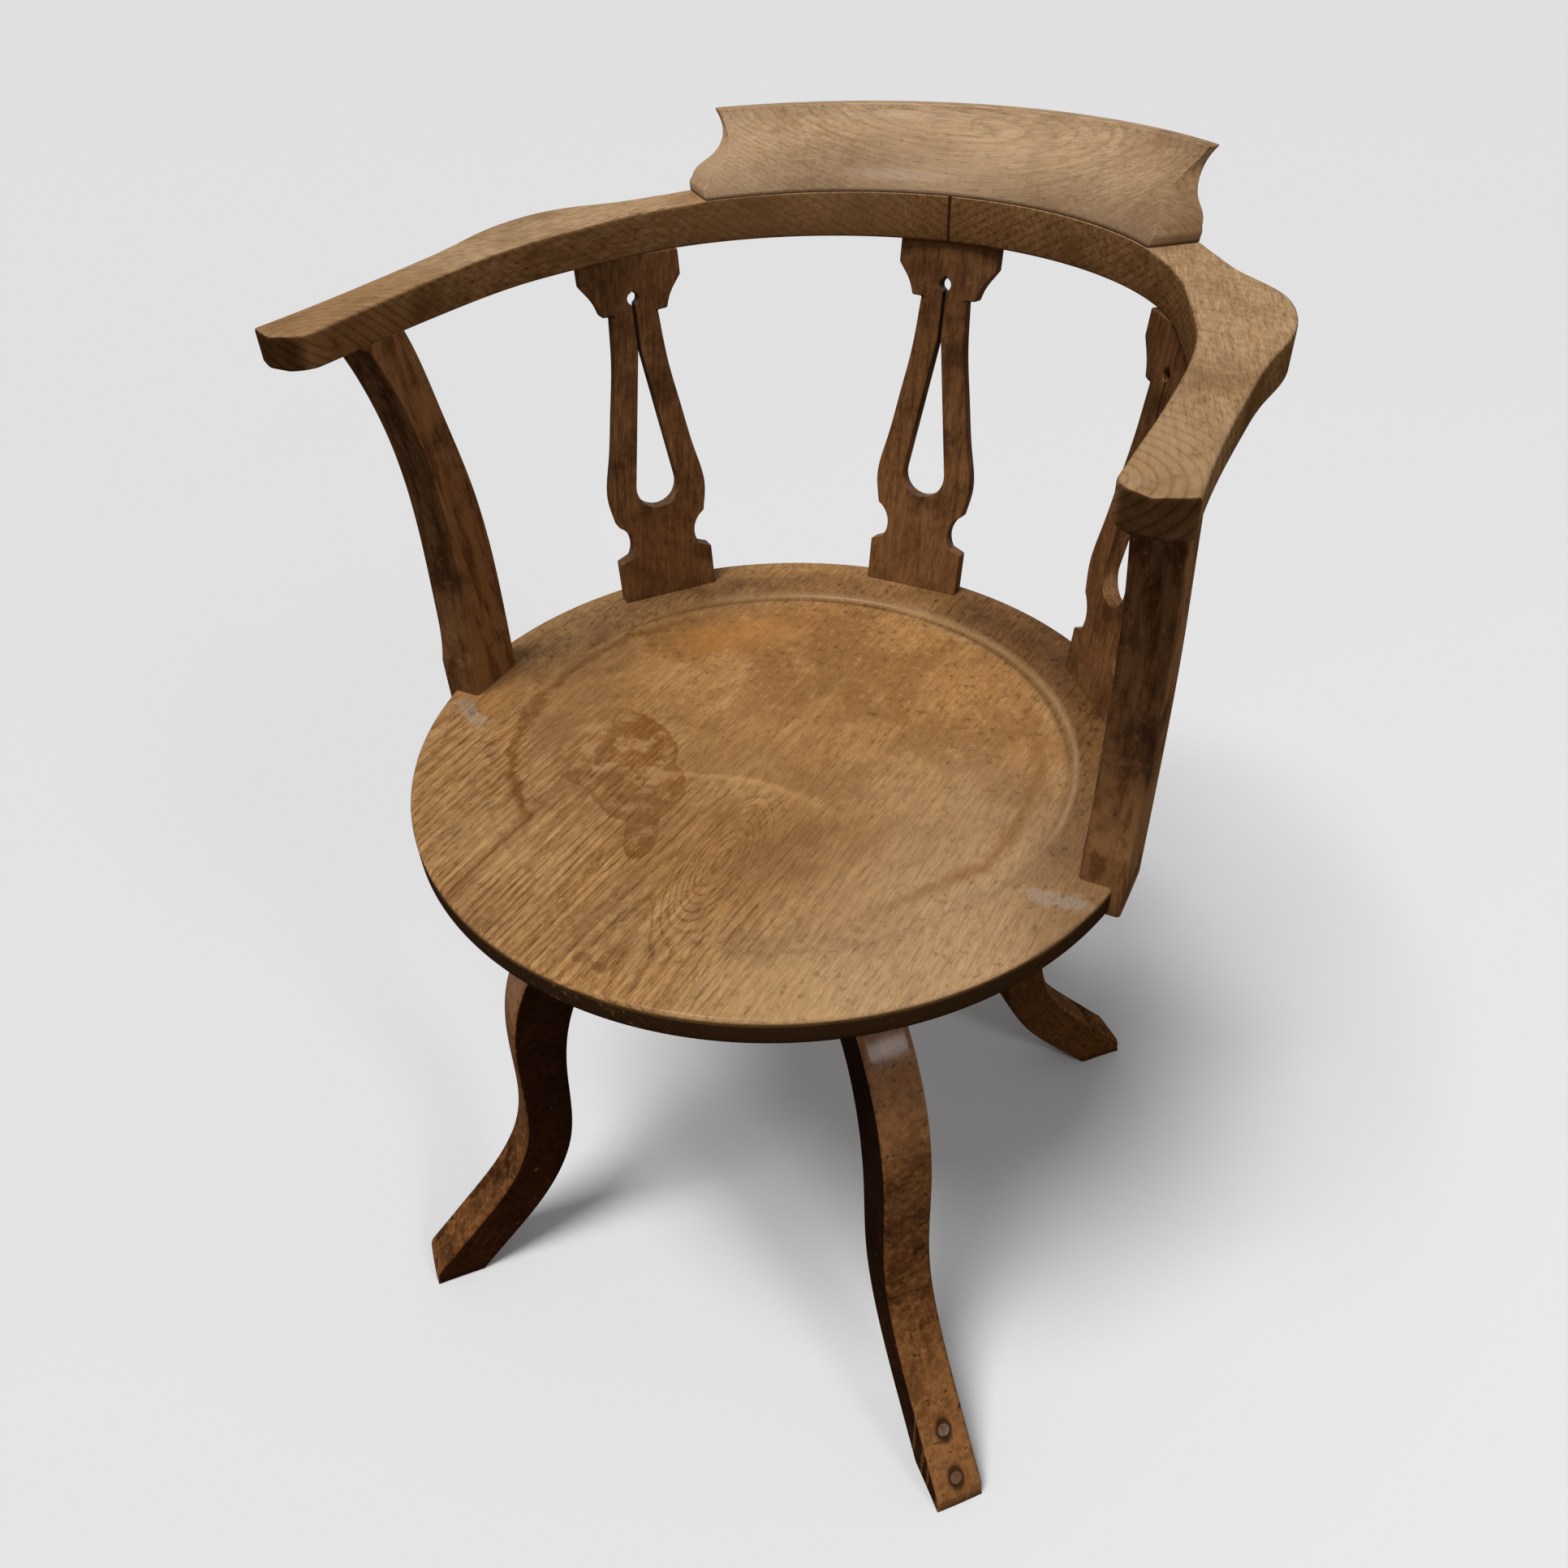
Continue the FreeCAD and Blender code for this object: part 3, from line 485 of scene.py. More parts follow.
    def rubbed(self):
        """1 on outer edges, where hands and feet wear the polish."""
        geometry = self.finish.node("ShaderNodeNewGeometry", out="Pointiness")
        return geometry.rise(0.53, 0.60)

    def done(self):
        """The finished material: duller in the pores and the clouds, its film on top."""
        f = self.finish
        look = self.look
        fine = f.noise(self.spot, (420.0, 420.0, 420.0), 2.0)
        rough = look.gloss + self.cloud * 0.16 + self.pores * 0.2 + fine * 0.06
        height = self.height + fine * 0.12 + self.grit * 0.1
        depth = look.relief * MM
        coat = (self.film + 0.04) * look.coat
        return f.finish(self.colour, rough, height, depth, coat, 0.0, 0.0)


# What a user may change


def tint(name, colour, about):
    """A colour of a look, with its name in the panel and what it colours."""
    return FloatVectorProperty(
        name=name, description=about, subtype="COLOR", size=3, min=0, max=1, default=colour
    )


def share(name, value, about):
    """A number from 0 to 1 of a look."""
    return FloatProperty(
        name=name, description=about, min=0, max=1, default=value, subtype="FACTOR"
    )


def length(name, value, about):
    """A length of a look, in metres."""
    return FloatProperty(name=name, description=about, min=0, default=value, unit="LENGTH")


def relief(value):
    """How deep a wood's grain stands, in millimetres."""
    return FloatProperty(name="Relief", description="Depth of the grain in mm", default=value)


def lamp(name, value, about):
    """How strong a lamp is."""
    return FloatProperty(name=name, description=about, min=0, default=value)


class SeatLook(bpy.types.PropertyGroup):
    light: tint("Light", (0.500, 0.288, 0.122), "Palest wood between the growth rings")
    mid: tint("Middle", (0.245, 0.120, 0.042), "Wood along the growth rings")
    warm: tint("Warm", (0.390, 0.180, 0.053), "Orange cast of the old polish")
    dark: tint("Dark", (0.190, 0.088, 0.031), "Worn and dirty patches")
    pore: tint("Pores", (0.060, 0.026, 0.010), "Dirt in the open pores")
    # the Edge tint is old dark polish and painted shade together, laid on the seat's side
    edge: tint("Edge", (0.032, 0.015, 0.006), "Old dark polish left on the seat's side")
    soak: tint("Stain", (0.190, 0.070, 0.017), "Soaked patch left of the middle")
    # the Bare tint is bared wood and a painted highlight on the dish's edge
    bare: tint("Bare", (0.480, 0.310, 0.160), "Wood bared on the edge of the dish")
    pore_depth: share("Pore strength", 0.60, "How strongly the pores show")
    gloss: share("Roughness", 0.40, "Dullness of the bare wood")
    coat: share("Wax", 0.12, "Weight of the wax film")
    relief: relief(0.35)
    edge_round: length("Worn edge", 0.0028, "Radius worn on the seat's top edge")


class BowLook(bpy.types.PropertyGroup):
    light: tint("Light", (0.500, 0.330, 0.182), "Palest wood of arms and crest")
    mid: tint("Middle", (0.250, 0.142, 0.064), "Wood along the growth rings")
    warm: tint("Warm", (0.350, 0.178, 0.062), "Orange cast of the old polish")
    dark: tint("Dark", (0.200, 0.108, 0.046), "Worn and dirty patches")
    pore: tint("Pores", (0.048, 0.023, 0.010), "Dirt in the open pores")
    # the Edge tint darkens the sides both as old polish and as painted shade
    edge: tint("Edge", (0.550, 0.460, 0.360), "Old polish on the sides, which darkens them")
    pore_depth: share("Pore strength", 0.55, "How strongly the pores show")
    gloss: share("Roughness", 0.42, "Dullness of the bare wood")
    coat: share("Wax", 0.06, "Weight of the wax film")
    relief: relief(0.3)
    arris: length("Worn arris", 0.0026, "Radius worn on the arms' top edges")


class BackLook(bpy.types.PropertyGroup):
    # the Light tint is also laid as painted light on the supports' sides and feet
    light: tint("Light", (0.250, 0.118, 0.046), "Palest wood of splats and supports")
    mid: tint("Middle", (0.105, 0.044, 0.016), "Wood along the growth rings")
    warm: tint("Warm", (0.150, 0.058, 0.018), "Red cast of the old varnish")
    # the Dark tint is also laid as painted shade on the supports' fronts and the splats' heads
    dark: tint("Dark", (0.042, 0.018, 0.008), "Clouds of old varnish")
    pore: tint("Pores", (0.016, 0.008, 0.004), "Dirt in the open pores")
    pore_depth: share("Pore strength", 0.55, "How strongly the pores show")
    gloss: share("Roughness", 0.38, "Dullness of the varnish")
    coat: share("Varnish", 0.20, "Weight of the varnish film")
    relief: relief(0.3)
    arris: length("Worn arris", 0.0009, "Round on the splats' sawn edges")


class LegLook(bpy.types.PropertyGroup):
    # the Light tint is also laid as painted light on the back legs' sides
    light: tint("Light", (0.170, 0.068, 0.020), "Palest wood of legs and hub")
    mid: tint("Middle", (0.070, 0.025, 0.007), "Wood along the growth rings")
    warm: tint("Warm", (0.135, 0.045, 0.011), "Red cast of the old varnish")
    # the Dark tint is also laid as painted shade on the legs' sides
    dark: tint("Dark", (0.026, 0.010, 0.004), "Clouds of old varnish")
    pore: tint("Pores", (0.012, 0.006, 0.003), "Dirt in the open pores")
    # the Rubbed tint is bared wood, and on the knees also a painted highlight
    rub_and_highlight: tint("Rubbed", (0.290, 0.128, 0.044), "Wood bared by shoes on top of the legs")
    pore_depth: share("Pore strength", 0.5, "How strongly the pores show")
    gloss: share("Roughness", 0.30, "Dullness of the varnish")
    coat: share("Varnish", 0.24, "Weight of the varnish film")
    relief: relief(0.2)
    arris: length("Worn arris", 0.0030, "Radius worn on the legs' long edges")


class MetalLook(bpy.types.PropertyGroup):
    iron: tint("Iron", (0.045, 0.042, 0.040), "Blackened iron of plate and socket")
    rust: tint("Rust", (0.120, 0.050, 0.022), "Rust on iron and screws")
    steel: tint("Steel", (0.36, 0.34, 0.31), "Dull steel of spindle and screws")
    old: tint("Old steel", (0.17, 0.15, 0.13), "Dirty steel of the toe screws")
    peg: tint("Pegs", (0.42, 0.27, 0.14), "Dry hardwood of the dowels")
    peg_grain: tint("Peg grain", (0.22, 0.13, 0.06), "Darker grain of the dowels")


class StageLook(bpy.types.PropertyGroup):
    floor: tint("Floor", (0.70, 0.70, 0.71), "Pale plain floor as the camera sees it")
    wall: tint("Wall", (0.74, 0.74, 0.75), "Pale wall all round, as the camera sees it")
    bounce: share("Floor bounce", 0.20, "How much of the light the floor throws back up")
    key: lamp("Key light", 2.75, "Strength of the soft main light")
    fill: lamp("Fill light", 12.0, "Power of the side lamp")
    sky: share("Surround", 0.24, "Strength of the light from all round")


# Seat

DISH_FLOOR = 179.0
DISH_COVE = 6.0
DISH_HOLLOW = 4.0
DISH_SINK = 2.0
DISH_LEAN = 6.0 / 370.0
DISH_EASE = 1.4
DISH_WEAR = 3.4
WEAR_FROM = 90
WEAR_SPAN = 170
SEAT_BAND = 17.0
SEAT_UNDERCUT = 18.0
BOARD_JOINTS = (-100.0, 62.0)
JOINT_GAP = 0.12
LAP_X = 217.5
LAP_Y = (-43.3, 0.3)
BOARD_MIDDLES = (-0.16, -0.02, 0.15)
PITHS = ((0.035, -0.05), (-0.04, -0.045), (-0.07, -0.09))

# Marks on the seat, in metres from the swivel axis: middle, radii and turn of each oval
SOAKED = (
    ((-0.092, -0.050), (0.045, 0.037), -35),
    ((-0.060, -0.072), (0.036, 0.027), -50),
    ((-0.034, -0.109), (0.024, 0.010), -65),
)
SCUFFS = (((0.200, -0.064), (0.026, 0.008), 8), ((-0.197, -0.060), (0.026, 0.008), -30))
DRIPS = (((-0.0066, -0.2095), (0.0063, 0.0042), 0), ((0.0057, -0.211), (0.0054, 0.0036), 0))
RING_EYE = ((0.020, -0.112), (0.026, 0.085), 4)

# Their colours. A wash is what it leaves of the wood's colour under it
PAINTED_SHEEN = (0.46, 0.33, 0.21)
ORANGE = (0.42, 0.172, 0.042)
SCUFF_PALE = (0.36, 0.31, 0.25)
SCUFF_DIRT = (0.10, 0.085, 0.075)
DRIP_BROWN = (0.12, 0.048, 0.016)
CLOUD_WASH = (0.70, 0.64, 0.58)
SOAK_WASH = (0.56, 0.42, 0.27)
GRIME_WASH = (0.45, 0.38, 0.34)
WORN_WASH = (0.78, 0.68, 0.56)
RIM_WASH = (0.50, 0.44, 0.40)
DIRT_WASH = (0.40, 0.34, 0.30)


def seat_height(x, y, wear):
    """Height of the seat's top: flat outside, a tilted shallow bowl inside.

    The bowl is a ball's cap 4 deep over its floor, with a quarter round up at its rim,
    leant so that it is 5 under the top at the back and 1 over it at the front. Where
    bowl and top meet, the lower of the two is taken and eased over a small width.
    """
    reach = np.hypot(x, y)
    bowl = -DISH_HOLLOW * (1 - (np.minimum(reach, DISH_FLOOR) / DISH_FLOOR) ** 2)
    over = np.clip(reach - DISH_FLOOR, 0, DISH_COVE)
    bowl = bowl + DISH_COVE - np.sqrt(DISH_COVE ** 2 - over ** 2 * 0.999)
    bowl = bowl + np.maximum(reach - DISH_FLOOR - DISH_COVE, 0) * 4
    bowl = bowl - DISH_SINK - DISH_LEAN * y
    # smooth lower of bowl and 0
    gap = np.clip(0.5 + 0.5 * bowl / wear, 0, 1)
    return SEAT_TOP + bowl * (1 - gap) - wear * gap * (1 - gap)


def seat_columns():
    """Turns round the seat and the rim's distance at each, with steps at the laps."""
    plain = np.linspace(-math.pi, math.pi, 361)
    marks = []
    for mirror in (False, True):
        for y in LAP_Y:
            at = math.atan2(y, math.sqrt(SEAT_R ** 2 - y * y))
            marks.append(math.pi - at if mirror else at)
    marks = np.array([m - 2 * math.pi if m > math.pi else m for m in marks])
    turns = np.sort(np.concatenate([plain, marks, marks]))
    y = np.sin(turns) * SEAT_R
    inside = (y > LAP_Y[0] + 0.01) & (y < LAP_Y[1] - 0.01)
    reach = np.where(inside, LAP_X / np.maximum(np.abs(np.cos(turns)), 0.5), SEAT_R)
    # the second of each pair of equal turns is on the other side of the lap's wall
    for mark in marks:
        pair = np.where(np.abs(turns - mark) < 1e-9)[0]
        low_side = inside[pair[0] - 1]
        lap = LAP_X / abs(math.cos(mark))
        reach[pair[0]] = lap if low_side else SEAT_R
        reach[pair[-1]] = SEAT_R if low_side else lap
    return turns, reach


def seat_disc(name, look):
    """The whole seat: rings of points from the middle of the top to that of the bottom."""
    turns, rim = seat_columns()
    worn = look.edge_round / MM
    inner = np.concatenate(
        [np.linspace(0, 172, 44), np.linspace(174, 188, 22), np.linspace(190.5, 206, 7)]
    )
    cos = np.cos(turns)
    sin = np.sin(turns)
    rings = []
    for r in inner:
        # the dish's edge is worn rounder towards the front
        wear = DISH_EASE + DISH_WEAR * np.clip((WEAR_FROM - sin * r) / WEAR_SPAN, 0, 1)
        rings.append((r, seat_height(cos * r, sin * r, wear)))
    for a in np.linspace(0, math.pi / 2, 7):
        rings.append((rim - worn + worn * math.sin(a), SEAT_TOP - worn + worn * math.cos(a)))
    low = SEAT_TOP - SEAT_BAND
    rings += [(rim, low + 4), (rim - 0.05, low + 1), (rim - 0.9, low - 0.6)]
    floor_r = np.minimum(rim, SEAT_R) - SEAT_UNDERCUT
    rings.append((floor_r + 1, SEAT_LOW + 0.6))
    rings += [(r, SEAT_LOW) for r in (floor_r - 0.8, floor_r * 0.5, floor_r * 0.0)]
    points = np.array([points_of(cos * r, sin * r, z) for r, z in rings])
    faces = ring_faces(len(rings), len(turns))
    return mesh_of(name, points.reshape(-1, 3), faces)


def cut_flat(piece, x, keep_right):
    """Keeps the side of a piece right or left of x and closes the cut."""
    work = bmesh.new()
    work.from_mesh(piece.data)
    geometry = work.verts[:] + work.edges[:] + work.faces[:]
    bmesh.ops.bisect_plane(
        work,
        geom=geometry,
        plane_co=(x * MM, 0, 0),
        plane_no=(1, 0, 0),
        clear_inner=keep_right,
        clear_outer=not keep_right,
    )
    edges = [e for e in work.edges if e.is_boundary]
    bmesh.ops.contextual_create(work, geom=edges)
    bmesh.ops.recalc_face_normals(work, faces=work.faces)
    work.to_mesh(piece.data)
    work.free()
    piece.data.set_sharp_from_angle(angle=math.radians(32))


def between(signal, low, high, ease):
    """1 between two values, easing to 0 outside them."""
    return signal.rise(low - ease, low + ease) * signal.fall(high - ease, high + ease)


def seat_oak(look, name, centre, pith):
    """Seat wood with its stains, the tide line, the dark crease, a painted sheen and the worn edge, with painted
    shade and highlights on it.
    """
    f = Finish(name)
    oak = Oak(f, look, (0.03, 1.0, 0.0), (centre, 0.0, SEAT_TOP * MM))
    x, y, z = f.axes(oak.spot)
    y = y - AXIS_Y
    cloud = oak.cloud - 0.5
    blotch = oak.blotch - 0.5
    grit = oak.grit - 0.5
    front = y.fall(-0.10, -0.02) * x.fall(0.0, 0.11)
    eye = oak.mark(RING_EYE).fall(0.0, 1.0)
    oak.grow(oak.reach(pith, 0.05, 0.03) + eye * 0.034, 0.0042, front * 0.80 + 0.25)
    reach = (x * x + y * y).root()
    dish = reach.fall(0.165, 0.180)
    back = y.rise(-0.05, 0.07)
    # behind the tide line the dish is redder and thickly mottled
    oak.stain(back * dish * (oak.blotch * 0.9), look.warm)
    oak.stain(back * dish * between(oak.blotch, 0.50, 0.80, 0.05) * 0.35, look.dark)
    oak.darken(oak.cloud.rise(0.50, 0.66) * 0.35, CLOUD_WASH)
    # painted sheen: paler and greyer towards the right of the seat, where a soft highlight falls
    oak.stain(x.rise(0.03, 0.14) * y.fall(-0.02, 0.08) * 0.3, PAINTED_SHEEN)
    oak.stain(oak.cloud.fall(0.36, 0.46) * 0.3, look.light)
    oak.specks(back * 0.3 + reach.rise(0.06, 0.19) * 0.15 + 0.24)
    # soaked patch left of the middle, drawn from three ovals, with a drop at its foot
    first, second, drop = (oak.mark(oval) for oval in SOAKED)
    patch = first.least(second).least(drop) + blotch * 0.8 + grit * 0.15 - 0.08
    left = x.rise(-0.120, -0.085)
    fleck = f.noise(oak.spot, (75.0, 60.0, 75.0), 4.0, 0.7)
    wash = fleck.fall(0.42, 0.58) * 0.45 + 0.40
    oak.darken(patch.fall(0.94, 1.0) * wash * (left * 0.4 + 0.6) * 1.1, SOAK_WASH)
    oak.stain(between(patch, 0.90, 0.985, 0.025) * left * 0.60, look.soak)
    oak.stain(patch.fall(0.5, 1.0) * fleck.rise(0.50, 0.62) * 0.5, look.light)
    # tide line across the middle, browner behind it
    tide = y + 0.036 - x * 0.14 + x * x * 3.0 + cloud * 0.03 + grit * 0.002
    span = x.rise(-0.060, -0.045) * x.fall(0.02, 0.09)
    oak.stain(tide.rise(-0.0007, 0.0011) * tide.fall(0.0, 0.09) * span * 0.42, look.mid)
    oak.stain(between(tide, -0.006, -0.0012, 0.0012) * span * 0.3, look.light)
    # orange tint along the back of the dish, red-brown crease at the left
    ring = reach + blotch * 0.035
    tint_at = between(x, -0.135, -0.055, 0.03) * y.rise(0.055, 0.09)
    oak.stain(between(ring, 0.118, 0.158, 0.014) * tint_at * 0.5, ORANGE)
    crease = between(ring, 0.165, 0.1705, 0.003) * x.fall(-0.12, -0.07)
    oak.stain(crease * y.fall(0.05, 0.14) * (oak.blotch * 1.2 + 0.2), look.soak)
    oak.stain(crease * y.fall(0.05, 0.14) * grit.rise(-0.05, 0.15) * 0.5, look.pore)
    oak.stain(between(ring, 0.154, 0.163, 0.004) * x.rise(0.09, 0.15) * 0.55, look.soak)
    # grime in the crease and on the rim behind, bared pale wood and a painted highlight on the dish's edge
    grime = reach.rise(0.174, 0.181) * reach.fall(0.196, 0.222)
    oak.darken(grime * y.rise(-0.02, 0.08) * oak.blotch, GRIME_WASH)
    worn = reach.rise(0.184, 0.20) * y.rise(0.10, 0.16) * x.fall(0.0, 0.1)
    oak.darken(worn * 0.15, WORN_WASH)
    rim = reach.rise(0.172, 0.186) * (x + y * 0.6).rise(0.10, 0.19)
    oak.darken(rim * 0.9, RIM_WASH)
    dirty = reach.rise(0.184, 0.215) * y.rise(0.02, 0.12) * (oak.blotch + 0.1)
    oak.darken(dirty * x.rise(-0.02, 0.15), DIRT_WASH)
    # the pale line on the dish's edge is bared wood with a painted highlight
    lip = between(reach, 0.1815, 0.1845, 0.0014) * (y + x * 0.5).rise(0.02, 0.10)
    oak.stain(lip * (oak.grit - 0.05), look.bare)
    seam = between(reach, 0.1775, 0.1795, 0.0012) * y.rise(0.0, 0.09)
    oak.stain(seam * (oak.blotch * 0.8 + 0.15), look.pore)
    # scuffs in front of the supports
    for oval in SCUFFS:
        scuff = oak.mark(oval) + grit * 2.2
        oak.stain(scuff.fall(0.4, 1.0) * 0.4, SCUFF_PALE)
        oak.stain(scuff.fall(-0.1, 0.3) * 0.45, SCUFF_DIRT)
    # grime along the left glue joint, two drips near the front
    joint = x - BOARD_JOINTS[0] * MM + grit * 0.006
    joint = (joint * joint).root()
    oak.stain(joint.fall(0.0008, 0.007) * y.fall(-0.14, -0.07) * 0.5, look.soak)
    oak.stain(joint.fall(0.0002, 0.002) * y.fall(-0.13, -0.09) * 0.35, look.pore)
    for oval in DRIPS:
        drip = oak.mark(oval) + grit * 1.6 + blotch
        oak.stain(drip.fall(0.6, 1.1) * 0.55, DRIP_BROWN)
    # old dark polish left on the side and underneath, with painted shade in it too
    side = z.fall((SEAT_TOP - 3.4) * MM, (SEAT_TOP - 1.6) * MM) * reach.rise(0.205, 0.212)
    oak.stain(side, look.edge)
    # a pale line under the top arris: worn wood and a painted highlight
    rubbed = between(z, (SEAT_TOP - 4.6) * MM, (SEAT_TOP - 2.2) * MM, 0.0006)
    oak.stain(rubbed * (oak.blotch - 0.2), look.mid)
    # pale specks on the dark side: scrapes and painted glints
    scrapes_and_glints = oak.grit.rise(0.55, 0.68) * oak.cloud.rise(0.45, 0.6)
    oak.stain(side * scrapes_and_glints * 0.6, look.mid)
    return oak.done()


class ChairSeat(bpy.types.Operator):
    """Makes the three boards of the dished seat"""

    bl_idname = "chair.seat"
    bl_label = "Seat"

    def execute(self, context):
        look = context.scene.chair_seat
        limits = [None, BOARD_JOINTS[0], BOARD_JOINTS[1], None]
        for i, side in enumerate(("left", "middle", "right")):
            board = seat_disc("seat_" + side, look)
            if limits[i] is not None:
                cut_flat(board, limits[i] + JOINT_GAP / 2, True)
            if limits[i + 1] is not None:
                cut_flat(board, limits[i + 1] - JOINT_GAP / 2, False)
            wood = seat_oak(look, "seat_oak_" + side, BOARD_MIDDLES[i], PITHS[i])
            stand_for(board, "seat_board_" + side, "seat", wood)
        return {"FINISHED"}


# Bow and crest

BOW_R = 190.0
BOW_W = 32.5
BOW_Y = 63.0
BOW_BEND = 72.0
CREST_HALF = 48.7
ARM_IN = 206.5
ELBOW = 240.5
ARM_STRAIGHT = 113.0
ARM_TIP_Y = -97.0
ARM_TIP_W = 34.0
NOSE = 15.0
NOSE_CORNER = 8.0
NOSE_FLAT = 0.8
BOW_BACK_T = BOW_TOP - BOW_LOW
ARM_TIP_T = 18.5
SEAM = 0.02
BOW_LOW_ROUND = 1.6
BOW_UNDER_CREST = (0.4, 0.8)
BOW_SWEEP = [
    (0.798, 0.872),
    (0.593, 0.729),
    (0.402, 0.633),
    (0.184, 0.511),
    (0.048, 0.341),
    (0, 0.109),
]
BOW_CLOUD_WASH = (0.55, 0.48, 0.44)
BOW_LOW_WASH = (0.50, 0.44, 0.40)
NOSE_WASH = (0.28, 0.24, 0.23)
TIP_WASH = (0.74, 0.70, 0.64)
ARM_INNER = [(8.0, -0.027), (1.5, 0.469)]
ARM_OUTER = [(3.0, 0.159), (4.0, 0.513), (3.4, 1.0)]


def bow_underside(y):
    """The bow's underside rises in a straight line from the back to the arms' tips."""
    back = BOW_Y + BOW_R
    return BOW_TOP - BOW_BACK_T + (back - y) / (back - ARM_TIP_Y) * (BOW_BACK_T - ARM_TIP_T)


def on_bow(radius, turn, *height):
    """Points round the bow's middle, by their turn from the back, in plan or at heights."""
    return points_of(radius * np.sin(turn), BOW_Y + radius * np.cos(turn), *height)


def bow_edges():
    """Inner and outer edge of the right half in plan, from the seam to the nose."""
    arc_in = on_bow(BOW_R, np.radians(np.linspace(0, BOW_BEND, 60)))
    arc_out = on_bow(BOW_R + BOW_W, np.radians(np.linspace(0, CREST_HALF, 40)))
    a = math.radians(BOW_BEND)
    b = math.radians(CREST_HALF)
    inner = [arc_in[-1]]
    inner += [(ARM_IN - i, BOW_Y - s * ARM_STRAIGHT) for i, s in ARM_INNER]
    inner.append((ARM_IN, BOW_Y - ARM_STRAIGHT))
    bend = curve_through(inner, np.array([math.cos(a), -math.sin(a)]), np.array([0, -1.0]), 20)
    end = arc_out[-1]
    outer = [end]
    outer += [(ELBOW + i * (end[0] - ELBOW), BOW_Y + s * (end[1] - BOW_Y)) for i, s in BOW_SWEEP]
    outer += [(ELBOW - i, BOW_Y - s * ARM_STRAIGHT) for i, s in ARM_OUTER]
    tip_out = (ARM_IN + ARM_TIP_W, ARM_TIP_Y - NOSE_CORNER)
    outer.append(tip_out)
    sweep = curve_through(outer, np.array([math.cos(b), -math.sin(b)]), np.array([0.1, -1]), 12)
    tip_in = (ARM_IN, ARM_TIP_Y)
    round_in = (ARM_IN + 0.16 * ARM_TIP_W, ARM_TIP_Y - 0.7 * NOSE)
    front = (ARM_IN + ARM_TIP_W / 2, ARM_TIP_Y - NOSE)
    nose = curve_through(
        [tip_in, round_in, front, tip_out], np.array([0, -1.0]), np.array([1, 0.6]), 30
    )
    low = nose[:, 1].argmin()
    inside = np.concatenate([arc_in, bend[1:], nose[: low + 1]])
    outside = np.concatenate([arc_out, sweep[1:], nose[: low - 1 : -1]])
    return inside, outside


def bow_stations():
    """Matching points on both edges: on rays round the back, level across the arms."""
    inside, outside = bow_edges()
    tip = min(inside[:, 1].min(), outside[:, 1].min())
    rays = np.radians(np.linspace(0, 90, 150))
    turn_in = np.arctan2(inside[:, 0], inside[:, 1] - BOW_Y)
    turn_out = np.arctan2(outside[:, 0], outside[:, 1] - BOW_Y)
    levels = np.concatenate(
        [
            np.linspace(BOW_Y, ARM_TIP_Y - 4, 90)[1:],
            tip + (ARM_TIP_Y - 4 - tip) * (1 - np.sin(np.linspace(0, math.pi / 2, 26)))[1:],
        ]
    )
    pairs = []
    for edge, turns in ((inside, turn_in), (outside, turn_out)):
        reach = np.hypot(edge[:, 0], edge[:, 1] - BOW_Y)
        r = np.interp(rays, turns, reach)
        order = np.argsort(edge[:, 1])
        x = np.interp(levels, edge[order, 1], edge[order, 0])
        pairs.append(np.concatenate([on_bow(r, rays), points_of(x, levels)]))
    return pairs[0], pairs[1], tip


def bow_half(name, look, side):
    """Half of the bow: sections between its two edges, rounded, drawn in at the nose."""
    inner, outer, tip = bow_stations()
    worn = look.arris / MM
    width = np.linalg.norm(outer - inner, axis=1)
    across = (outer - inner) / np.maximum(width, 1e-6)[:, None]
    across[-1] = across[-2]
    thin = np.maximum(NOSE_FLAT - width, 0)
    inner = inner - across * thin[:, None] / 2
    outer = outer + across * thin[:, None] / 2
    width = width + thin
    left = np.maximum(inner[:, 1] - tip, 0)
    draw = worn - np.sqrt(np.maximum(worn ** 2 - np.maximum(worn - left, 0) ** 2, 0))
    low_in = bow_underside(inner[:, 1]) + draw
    low_out = bow_underside(outer[:, 1]) + draw
    top = BOW_TOP - draw
    flat = np.zeros_like(width)
    corners = cornered((flat, low_in), (width, low_out), (width, top), (flat, top))
    # the top edges are worn where the crest leaves them free
    turn = np.degrees(np.arctan2(inner[:, 0], inner[:, 1] - BOW_Y))
    free = np.clip((turn - CREST_HALF) / 4, 0, 1)
    outer_round, inner_round = (r + (worn - r) * free for r in BOW_UNDER_CREST)
    radii = points_of(BOW_LOW_ROUND, BOW_LOW_ROUND, outer_round, inner_round)
    section = eased_quads(corners, radii, flat=5, turn=6)
    plan = inner[:, None] + section[:, :, :1] * across[:, None]
    rows = points_of(plan[..., 0], plan[..., 1], section[..., 1])
    rows[0, :, 0] = SEAM
    middle = (rows[0].max(axis=0) + rows[0].min(axis=0)) / 2
    throat = middle + (rows[0] - middle) * 0.94
    rows[0, :, 0] += 0.9
    rows = np.concatenate([throat[None], rows])
    return bar_mesh(name, rows * (side, 1, 1))


